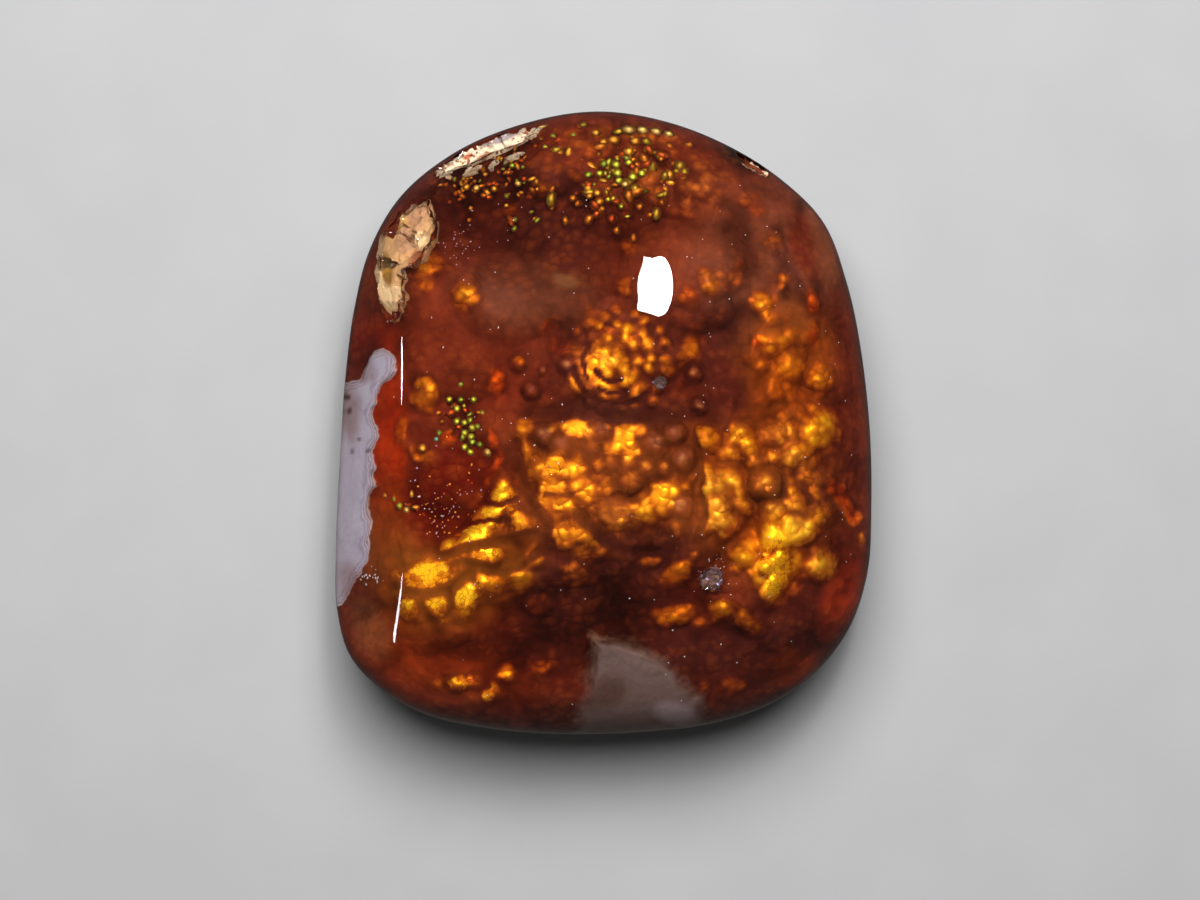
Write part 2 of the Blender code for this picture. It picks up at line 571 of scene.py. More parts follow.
@dataclass(frozen=True)
class Stroke(Oval):
    """A soft-edged stroke along a chain of places, where rx is half its width. It starts at (x, y)."""

    ry: float = 0.0
    then: tuple[tuple[float, float], ...] = ()

    def distance(self, x: Array, y: Array) -> Array:
        """How far places are from the chain, where 1 is the stroke's edge."""
        nearest = np.full(np.shape(x), np.inf)
        start = (self.x, self.y)
        for end in self.then:
            run = (end[0] - start[0], end[1] - start[1])
            t = ((x - start[0]) * run[0] + (y - start[1]) * run[1]) / (run[0] ** 2 + run[1] ** 2)
            t = np.clip(t, 0.0, 1.0)
            gap = np.hypot(x - start[0] - t * run[0], y - start[1] - t * run[1])
            nearest, start = np.minimum(nearest, gap), end
        return nearest / self.rx


def arc(x: float, y: float, r: float, first: float, last: float, width: float) -> Stroke:
    """A stroke along part of a circle.

    Args:
        x: the circle's centre.
        y: the circle's centre.
        r: its radius.
        first: the angle where the stroke starts, in degrees from +X.
        last: the angle where it ends.
        width: half the stroke's width.

    Returns:
        The stroke.
    """
    turns = np.radians(np.linspace(first, last, 12))
    places = tuple((x + r * math.cos(t), y + r * math.sin(t)) for t in turns)
    return Stroke(*places[0], width, then=places[1:])


@dataclass(frozen=True)
class Stain:
    """A patch of another ground colour."""

    shape: Oval
    tint: Tint
    strength: float = 1.0
    soft: float = 1.0


@dataclass(frozen=True)
class Glow:
    """A patch where the layer shows fire."""

    shape: Oval
    heat: float
    cast: Cast = Cast.PLAIN
    soft: float = 1.5


@dataclass(frozen=True)
class Bubble:
    """A dome of the lumpy layer, seen at (x, y) with radius r, in millimetres."""

    x: float
    y: float
    r: float
    heat: float = 0.9
    cast: Cast = Cast.PLAIN
    lift: float = 0.10
    stretch: float = 1.0
    turn: float = 0.0

    @property
    def oval(self) -> Oval:
        """Its edge in plan."""
        return Oval(self.x, self.y, self.r * self.stretch, self.r, self.turn)

    @property
    def lit(self) -> Oval:
        """The part of it that shows fire and painted light: a painted highlight on its side towards +Y, which
        faces the light.
        """
        return Oval(self.x, self.y + 0.22 * self.r, 0.62 * self.r * self.stretch, 0.62 * self.r, self.turn)


def ring(
    x: float, y: float, out: float, count: int, r: float, heat: float,
    swing: float = 0.0, towards: float = 0.0,
) -> tuple[Bubble, ...]:
    """A ring of bubbles round a place.

    Args:
        x: its centre.
        y: its centre.
        out: its radius.
        count: how many bubbles it has.
        r: each bubble's radius.
        heat: their mean heat.
        swing: how much the heat rises and falls round the ring.
        towards: where it is highest, in degrees from +X.

    Returns:
        The bubbles.
    """
    made = []
    for i in range(count):
        way, far = 2 * math.pi * (i + 0.25 * (i % 2)) / count, out * (1 + 0.06 * (i % 3 - 1))
        hot = heat + swing * math.cos(way - math.radians(towards))
        size = r * (1 + 0.12 * (i % 2))
        made.append(Bubble(x + far * math.cos(way), y + far * math.sin(way), size, hot, lift=0.16))
    return tuple(made)


STAINS = (
    Stain(Oval(1.5, 6.2, 8.5, 4.0), Tint.SMOKE, 0.14, 0.8),
    Stain(Oval(0.4, -2.3, 4.2, 3.0), Tint.OCHRE, 0.35), Stain(Oval(6.3, -2.6, 2.6, 3.2), Tint.OCHRE, 0.6),
    Stain(Oval(-3.4, 8.2, 4.4, 2.1, -8), Tint.PLUM, 0.95),
    Stain(Oval(-6.3, 8.6, 1.6, 1.2, 30), Tint.PLUM, 0.8),
    Stain(Oval(-2.9, 5.0, 2.4, 1.3, -10), Tint.SMOKE, 0.45),
    Stain(Oval(-1.5, 5.5, 0.5, 0.3, -15), Tint.TAN, 0.7),
    Stain(Oval(-1.2, -7.8, 4.8, 2.4, 0), Tint.PLUM, 1.0),
    Stain(Oval(1.0, -5.2, 2.6, 1.2, 0), Tint.PLUM, 0.7),
    Stain(Oval(4.0, -9.0, 3.0, 1.2, 10), Tint.PLUM, 0.85),
    Stain(Oval(7.6, -7.6, 2.0, 1.6, 30), Tint.PLUM, 0.7),
    Stain(Oval(4.8, 2.7, 1.2, 2.7), Tint.PLUM, 0.75), Stain(Oval(0.7, 2.4, 3.2, 2.2), Tint.PLUM, 0.5),
    Stain(Oval(0.8, 0.4, 3.7, 0.6), Tint.PLUM, 0.6, 0.9), Stain(Oval(1.5, -12.0, 9.0, 1.1), Tint.PLUM, 0.85),
    Stain(Oval(7.5, -9.6, 2.6, 1.5, 35), Tint.PLUM, 0.85), Stain(Oval(6.4, 3.75, 1.2, 0.35), Tint.PLUM, 0.6),
    Stain(Oval(-3.0, 6.3, 3.0, 1.6), Tint.PLUM, 0.5), Stain(Oval(8.0, -2.2, 1.2, 1.3), Tint.PLUM, 0.6),
    Stain(Oval(-8.6, -0.6, 0.8, 4.2, 3), Tint.FLAME, 0.95),
    Stain(Oval(-8.5, -4.6, 0.9, 2.0), Tint.OCHRE, 0.5),
    Stain(Oval(-7.0, -7.6, 3.2, 2.4, -15), Tint.RUST, 0.4),
    Stain(Oval(-5.8, -5.9, 3.0, 1.9, 20), Tint.OCHRE, 0.75, 0.8),
    Stain(Oval(-5.9, -2.9, 1.9, 2.3, -35), Tint.BLOOD, 0.9, 0.7),
    Stain(Oval(8.55, 7.1, 0.75, 1.9, 14), Tint.BRICK, 0.9, 0.35),
    Stain(Stroke(7.7, 8.7, 0.16, then=((7.65, 7.6), (7.95, 6.3), (8.45, 5.3))), Tint.BLACK, 0.7, 1.3),
    Stain(Oval(6.2, 6.2, 2.6, 3.0, 0), Tint.SMOKE, 0.4),
    Stain(Oval(5.3, 7.0, 0.7, 1.5, 15), Tint.PLUM, 0.55),
    Stain(Oval(7.3, 5.2, 0.5, 2.2, 10), Tint.PLUM, 0.6),
    Stain(Oval(4.9, 3.9, 1.6, 0.6, 10), Tint.PLUM, 0.5), Stain(Oval(7.9, 6.9, 0.5, 1.6, 12), Tint.BLOOD, 0.7),
    Stain(Oval(7.3, 2.4, 1.7, 2.1, 0), Tint.OCHRE, 0.7),
    Stain(Oval(9.5, -6.9, 0.8, 1.6, -25), Tint.SCARLET, 0.5),
    Stain(Oval(7.7, -10.0, 1.2, 0.8, -35), Tint.RUST, 0.6),
    Stain(Oval(-9.5, 3.0, 0.75, 1.2, 10), Tint.BLOOD, 0.9),
    Stain(Oval(5.2, 10.5, 0.8, 0.45, -35), Tint.BLACK, 0.95),
    Stain(Oval(-5.6, -10.0, 3.2, 1.0, -10), Tint.RUST, 0.3),
    Stain(Oval(-9.2, -8.2, 0.7, 1.1, 30), Tint.TAN, 0.25),
)

CHALCEDONY_STAINS = (
    Stain(Oval(1.6, -10.8, 3.4, 2.6), Tint.GREY, 1.0, 0.3),
    Stain(Oval(0.0, -10.6, 0.9, 0.6, 30), Tint.UMBER, 0.6),
    Stain(Oval(2.9, -11.6, 0.8, 0.5, -30), Tint.LILAC, 0.5),
    Stain(Oval(-10.15, 0.4, 0.45, 1.3, 4), Tint.SMOKE, 0.55),
    Stain(Oval(-10.2, 1.03, 0.12, 0.12), Tint.UMBER, 0.9),
    Stain(Oval(-10.17, 0.5, 0.13, 0.13), Tint.UMBER, 0.9),
    Stain(Oval(-9.7, -0.7, 0.12, 0.1), Tint.UMBER, 0.7),
    Stain(Oval(-10.1, -1.2, 0.1, 0.1), Tint.UMBER, 0.6), Stain(Oval(-9.3, -1.2, 0.12, 0.1), Tint.UMBER, 0.7),
    Stain(Oval(-9.9, -6.4, 0.6, 0.9, 20), Tint.SMOKE, 0.5), Stain(Oval(-9.5, 2.0, 0.5, 0.5), Tint.SMOKE, 0.4),
)

# The corners of the pale window at the bottom, in order round it with its inside on the right.
WINDOW = ((-0.45, -8.5), (1.7, -8.8), (3.8, -10.9), (4.1, -12.9), (-1.1, -12.9), (-0.8, -10.8))

GLOWS = (
    # The middle band, under the dark step.
    Glow(Oval(0.2, -2.0, 3.4, 2.2), 0.85),
    Glow(Stroke(-3.05, -0.1, 0.34, then=((-3.0, -1.0), (-2.8, -2.0))), 0.95),
    Glow(Oval(-1.15, -0.3, 0.95, 0.6), 1.15), Glow(Oval(0.7, -0.7, 1.1, 0.85, -15), 1.2),
    Glow(Oval(-0.3, -1.1, 0.8, 0.5), 0.95),
    Glow(Oval(-2.05, -1.6, 1.0, 0.65, -12), 1.1), Glow(Oval(-1.8, -2.55, 0.9, 0.35, -5), 0.95),
    Glow(Oval(-1.8, -3.1, 0.95, 0.4, 5), 1.05), Glow(Oval(1.45, -1.85, 1.5, 0.6), 0.9),
    Glow(Oval(2.3, -2.9, 1.15, 0.95, -15), 1.4), Glow(Oval(1.0, -3.3, 1.5, 0.8), 0.72),
    Glow(Oval(0.5, -3.75, 1.0, 0.5), 0.75, Cast.MOSS), Glow(Oval(-1.0, -4.7, 1.1, 0.85, -15), 1.05),
    Glow(Oval(-1.05, -5.9, 0.8, 0.5), 0.6), Glow(Oval(3.9, -0.75, 0.55, 0.6), 1.15),
    # The right cluster.
    Glow(Oval(6.1, -2.2, 2.6, 2.3), 0.95), Glow(Oval(8.47, -0.35, 0.75, 0.9), 1.56, soft=1.3),
    Glow(Stroke(5.0, -0.5, 0.35, then=((5.6, -0.7), (6.3, -1.1))), 1.20, soft=1.4),
    Glow(Oval(6.85, -0.45, 0.65, 0.5), 1.14, Cast.MOSS),
    Glow(Oval(5.95, -1.5, 0.5, 0.35), 1.32, Cast.MOSS),
    Glow(Oval(7.25, -1.4, 0.85, 0.42, -30), 1.26, Cast.MOSS),
    Glow(Oval(4.6, -2.7, 0.95, 1.3, -10), 1.38, Cast.MOSS), Glow(Oval(5.5, -2.5, 0.3, 0.7), 1.20),
    Glow(Oval(4.8, -4.0, 0.7, 0.45), 1.14, Cast.MOSS), Glow(Oval(6.5, -3.5, 0.7, 0.5), 1.14, Cast.MOSS),
    Glow(Oval(7.55, -4.3, 0.7, 0.7), 1.44, Cast.MOSS, 1.2), Glow(Oval(8.36, -3.7, 0.5, 0.5), 0.90),
    Glow(Oval(5.5, -5.2, 0.6, 0.5), 1.32), Glow(Oval(6.7, -5.3, 0.9, 1.5, 5), 2.64, soft=0.9),
    Glow(Oval(8.6, -5.6, 0.75, 0.65, -20), 1.44, Cast.MOSS),
    Glow(Oval(7.1, 2.3, 1.2, 1.5, 10), 1.14, soft=1.2),
    Glow(Oval(8.4, 1.6, 0.55, 0.55), 1.08),
    # The rosette above the dark step.
    Glow(Oval(0.5, 2.35, 1.7, 1.35), 0.9, soft=0.9), Glow(arc(0.4, 2.3, 0.98, 165, 285, 0.14), 1.1, soft=1.4),
    Glow(arc(0.5, 2.4, 1.15, 60, 120, 0.14), 0.8, Cast.RED, 1.3), Glow(Oval(1.15, 2.3, 0.32, 0.55, 20), 0.8),
    Glow(Stroke(-1.15, 1.45, 0.14, then=((-0.9, 1.25), (-0.6, 1.1))), 1.1),
    Glow(Oval(0.5, 2.3, 2.2, 1.6), 0.5),
    Glow(Oval(3.4, 2.9, 0.4, 0.75, 0), 0.85), Glow(Oval(2.9, 1.8, 0.5, 0.6, -20), 0.6),
    # The lower left folds and the orange round them.
    Glow(Oval(-4.3, -3.9, 1.2, 1.5, -35), 0.95, soft=1.1),
    Glow(Oval(-5.0, -5.1, 2.0, 0.6, 14), 0.95, soft=1.1),
    Glow(Oval(-4.5, -6.3, 1.5, 0.6, 12), 0.95, soft=1.1),
    Glow(Oval(-6.9, -6.3, 1.9, 0.9, 5), 0.95, soft=1.1),
    Glow(Oval(-6.7, -7.3, 2.0, 0.6, 5), 0.95, soft=1.1),
    Glow(Oval(-3.2, -5.4, 0.9, 1.5, -40), 0.5),
    Glow(Oval(-4.4, -6.6, 1.2, 0.5), 0.4), Glow(Oval(-8.0, -5.0, 1.0, 1.5), 0.35),
    Glow(Oval(-4.3, -10.2, 1.3, 0.7, 20), 0.75, soft=1.0), Glow(Oval(-5.8, -10.3, 0.9, 0.4), 0.9, soft=1.0),
    Glow(
        Stroke(
            -4.2, -0.4, 0.14,
            then=((-4.1, -1.4), (-4.55, -2.2), (-4.45, -2.7), (-4.9, -3.6), (-5.9, -4.5)),
        ),
        0.7, Cast.RED,
    ),
    Glow(Oval(-7.0, 1.05, 0.6, 0.7), 0.85, soft=0.7), Glow(Oval(-7.9, -0.3, 0.3, 0.6), 0.55),
    Glow(Oval(-7.1, -1.2, 0.35, 0.5, 30), 0.7), Glow(Oval(-6.1, -0.6, 0.4, 0.35), 0.8, Cast.RED),
    # Below the middle.
    Glow(Oval(2.9, -5.9, 0.8, 0.42, 35), 0.88, Cast.OLIVE), Glow(Oval(1.8, -5.5, 0.4, 0.25, 0), 0.6),
    Glow(Oval(2.9, -7.55, 1.0, 0.4, 0), 0.8),
    Glow(Stroke(4.1, -7.3, 0.36, then=((4.9, -7.4), (5.8, -7.9))), 0.8),
    Glow(Oval(5.1, -10.4, 0.8, 0.4, 10), 0.5, Cast.OLIVE), Glow(Oval(-2.4, -9.75, 0.4, 0.35, 0), 0.5),
    Glow(Oval(-2.6, -7.1, 0.8, 0.6, 20), 0.3), Glow(Oval(-6.0, -8.4, 0.9, 0.5, 0), 0.35),
    # Orange clouds in the upper half.
    Glow(Oval(6.25, 4.6, 0.55, 0.55), 0.95, soft=1.5),
    Glow(Oval(8.14, 4.6, 0.28, 0.6, 8), 0.95, Cast.RED, 1.4),
    Glow(Oval(6.75, 5.5, 0.36, 0.36), 0.7, soft=1.5), Glow(Oval(4.15, 5.45, 0.6, 0.5), 0.7, soft=1.5),
    Glow(Oval(5.15, 5.6, 0.3, 0.65, -15), 0.65, soft=1.5), Glow(Oval(3.2, 4.9, 0.4, 0.6), 0.6, Cast.RED, 1.5),
    Glow(Oval(6.0, 3.2, 0.3, 0.3), 0.7, Cast.RED, 1.4), Glow(Oval(8.14, 3.35, 0.26, 0.5), 0.8, Cast.RED, 1.4),
    Glow(Oval(0.95, 6.85, 0.45, 0.4), 0.55, soft=1.5), Glow(Oval(0.8, 5.25, 0.35, 0.35), 0.7, soft=1.4),
    Glow(Oval(-0.45, 4.15, 0.42, 0.36), 0.75, soft=1.4),
    Glow(Oval(-2.1, 3.65, 0.5, 0.35, 30), 0.65, Cast.RED, 1.4),
    Glow(Oval(6.7, 7.2, 0.5, 0.45), 0.5, soft=1.5), Glow(Oval(5.8, 8.6, 0.6, 0.5, -20), 0.55, Cast.RED, 1.5),
    Glow(Oval(-6.9, 6.1, 0.65, 0.6), 0.8, soft=1.5), Glow(Oval(-6.85, 5.35, 0.45, 0.4), 0.6, soft=1.5),
    Glow(Oval(-5.35, 4.9, 0.5, 0.75, -20), 0.85, soft=1.5),
    Glow(Oval(-4.15, 1.5, 0.3, 0.6), 0.95, Cast.RED, 1.4),
    Glow(Oval(-3.3, 2.3, 0.34, 0.34), 0.7, Cast.OLIVE), Glow(Oval(-5.3, 8.3, 0.45, 0.35), 0.5, soft=1.5),
    Glow(Oval(-2.55, 9.2, 0.45, 0.35), 0.6, soft=1.5), Glow(Oval(-3.6, 8.35, 0.35, 0.3), 0.45, soft=1.5),
    Glow(Oval(-1.6, 3.0, 0.5, 0.6, 30), 0.5, Cast.RED, 1.5), Glow(Oval(2.6, 4.3, 3.6, 1.2), 0.25),
    Glow(Oval(1.6, 9.8, 4.6, 1.8), 0.42), Glow(Oval(2.9, 9.2, 1.9, 1.1), 0.5, Cast.MOSS, 1.5),
    Glow(Oval(1.0, 11.4, 2.6, 0.5), 0.6, Cast.MOSS),
    # The right edge.
    Glow(Stroke(8.98, -2.6, 0.22, then=((9.6, -3.2), (10.0, -3.8))), 1.3, Cast.RED, 1.4),
    Glow(Oval(10.4, -4.7, 0.3, 0.5), 1.2),
    Glow(Oval(9.6, -6.9, 0.5, 1.0, -25), 0.45, Cast.RED),
)


def stained(x: Array, y: Array, base: Tint, stains: Iterable[Stain]) -> Array:
    """The colour of places in plan.

    Args:
        x: the places.
        y: the places.
        base: the colour with no stain.
        stains: what lies on it, in order.

    Returns:
        Linear colours, one row each.
    """
    colour = np.tile(np.array(base.value), (len(x), 1))
    for stain in stains:
        cover = (stain.shape.cover(x, y, stain.soft) * stain.strength)[:, None]
        colour = colour * (1 - cover) + np.array(stain.tint.value) * cover
    return colour


# Creases between the layer's masses, which are low, with painted shadow in them.
CREVICES = (
    Stroke(-2.8, 0.5, 0.26, then=((-0.9, 0.3), (0.4, 0.2), (1.8, 0.2), (3.2, 0.18), (4.6, 0.1))),
    Stroke(-3.45, -0.8, 0.16, then=((-3.3, -1.8), (-3.1, -2.6), (-2.6, -3.4), (-2.15, -3.9), (-2.3, -5.0))),
    Stroke(-0.9, -3.6, 0.2, then=((-0.2, -4.4), (0.7, -5.0), (2.2, -5.1), (3.05, -4.7), (3.3, -3.9))),
    Stroke(
        3.25, -0.3, 0.14,
        then=((3.6, -1.2), (3.8, -2.2), (3.6, -2.6), (3.9, -3.3), (3.8, -4.1), (3.5, -4.7)),
    ),
    Stroke(-5.28, -5.55, 0.15, then=((-3.78, -5.75), (-2.78, -5.3), (-2.08, -4.65))),
    Stroke(-8.28, -6.55, 0.14, then=((-6.98, -6.75), (-5.78, -6.3), (-4.98, -5.65))),
    Stroke(-2.3, -2.82, 0.07, then=((-1.7, -2.9), (-1.1, -2.75))),
    arc(0.4, 2.28, 0.72, 200, 290, 0.04), arc(0.45, 2.32, 1.2, 150, 215, 0.05),
    arc(0.45, 2.32, 1.2, 240, 290, 0.05),
    arc(0.5, 2.35, 1.68, 190, 320, 0.08),
    Stroke(-6.38, -5.2, 0.14, then=((-5.28, -4.88), (-3.78, -4.59), (-2.98, -4.3))),
    Stroke(-5.28, -4.0, 0.07, then=((-4.48, -3.82), (-3.68, -3.8))),
    Stroke(-4.53, -3.15, 0.07, then=((-3.88, -3.2), (-3.38, -3.0))),
    Stroke(-7.08, -6.7, 0.09, then=((-7.08, -7.6),)), Stroke(-5.93, -6.6, 0.09, then=((-5.98, -7.4),)),
)

# How deep the layer lies under the skin over wide areas, in millimetres.
USUAL_DEPTH = 1.2
DEPTHS = (
    (Oval(-0.3, -2.4, 4.2, 3.0, 0), 0.85),
    (Oval(6.2, -3.2, 3.2, 3.4, 0), 0.95),
    (Oval(-5.2, -4.8, 3.6, 3.2, 30), 0.55),
    (Oval(0.6, 2.2, 2.2, 1.8, 0), 0.8),
    (Oval(-1.2, -8.2, 4.2, 1.9, 0), 2.0),
    (Oval(-3.4, 7.6, 4.6, 2.0, -8), 2.0),
    (Oval(1.6, 10.4, 5.0, 1.6, 0), 1.0),
    (Oval(-5.9, -2.8, 1.7, 2.0, -35), 1.25),
)

# The lift of a cap, which shows on its dome without a form of its own: a painted highlight of fire on a
# fold's top.
HIGHLIGHT_CAP = -2.0

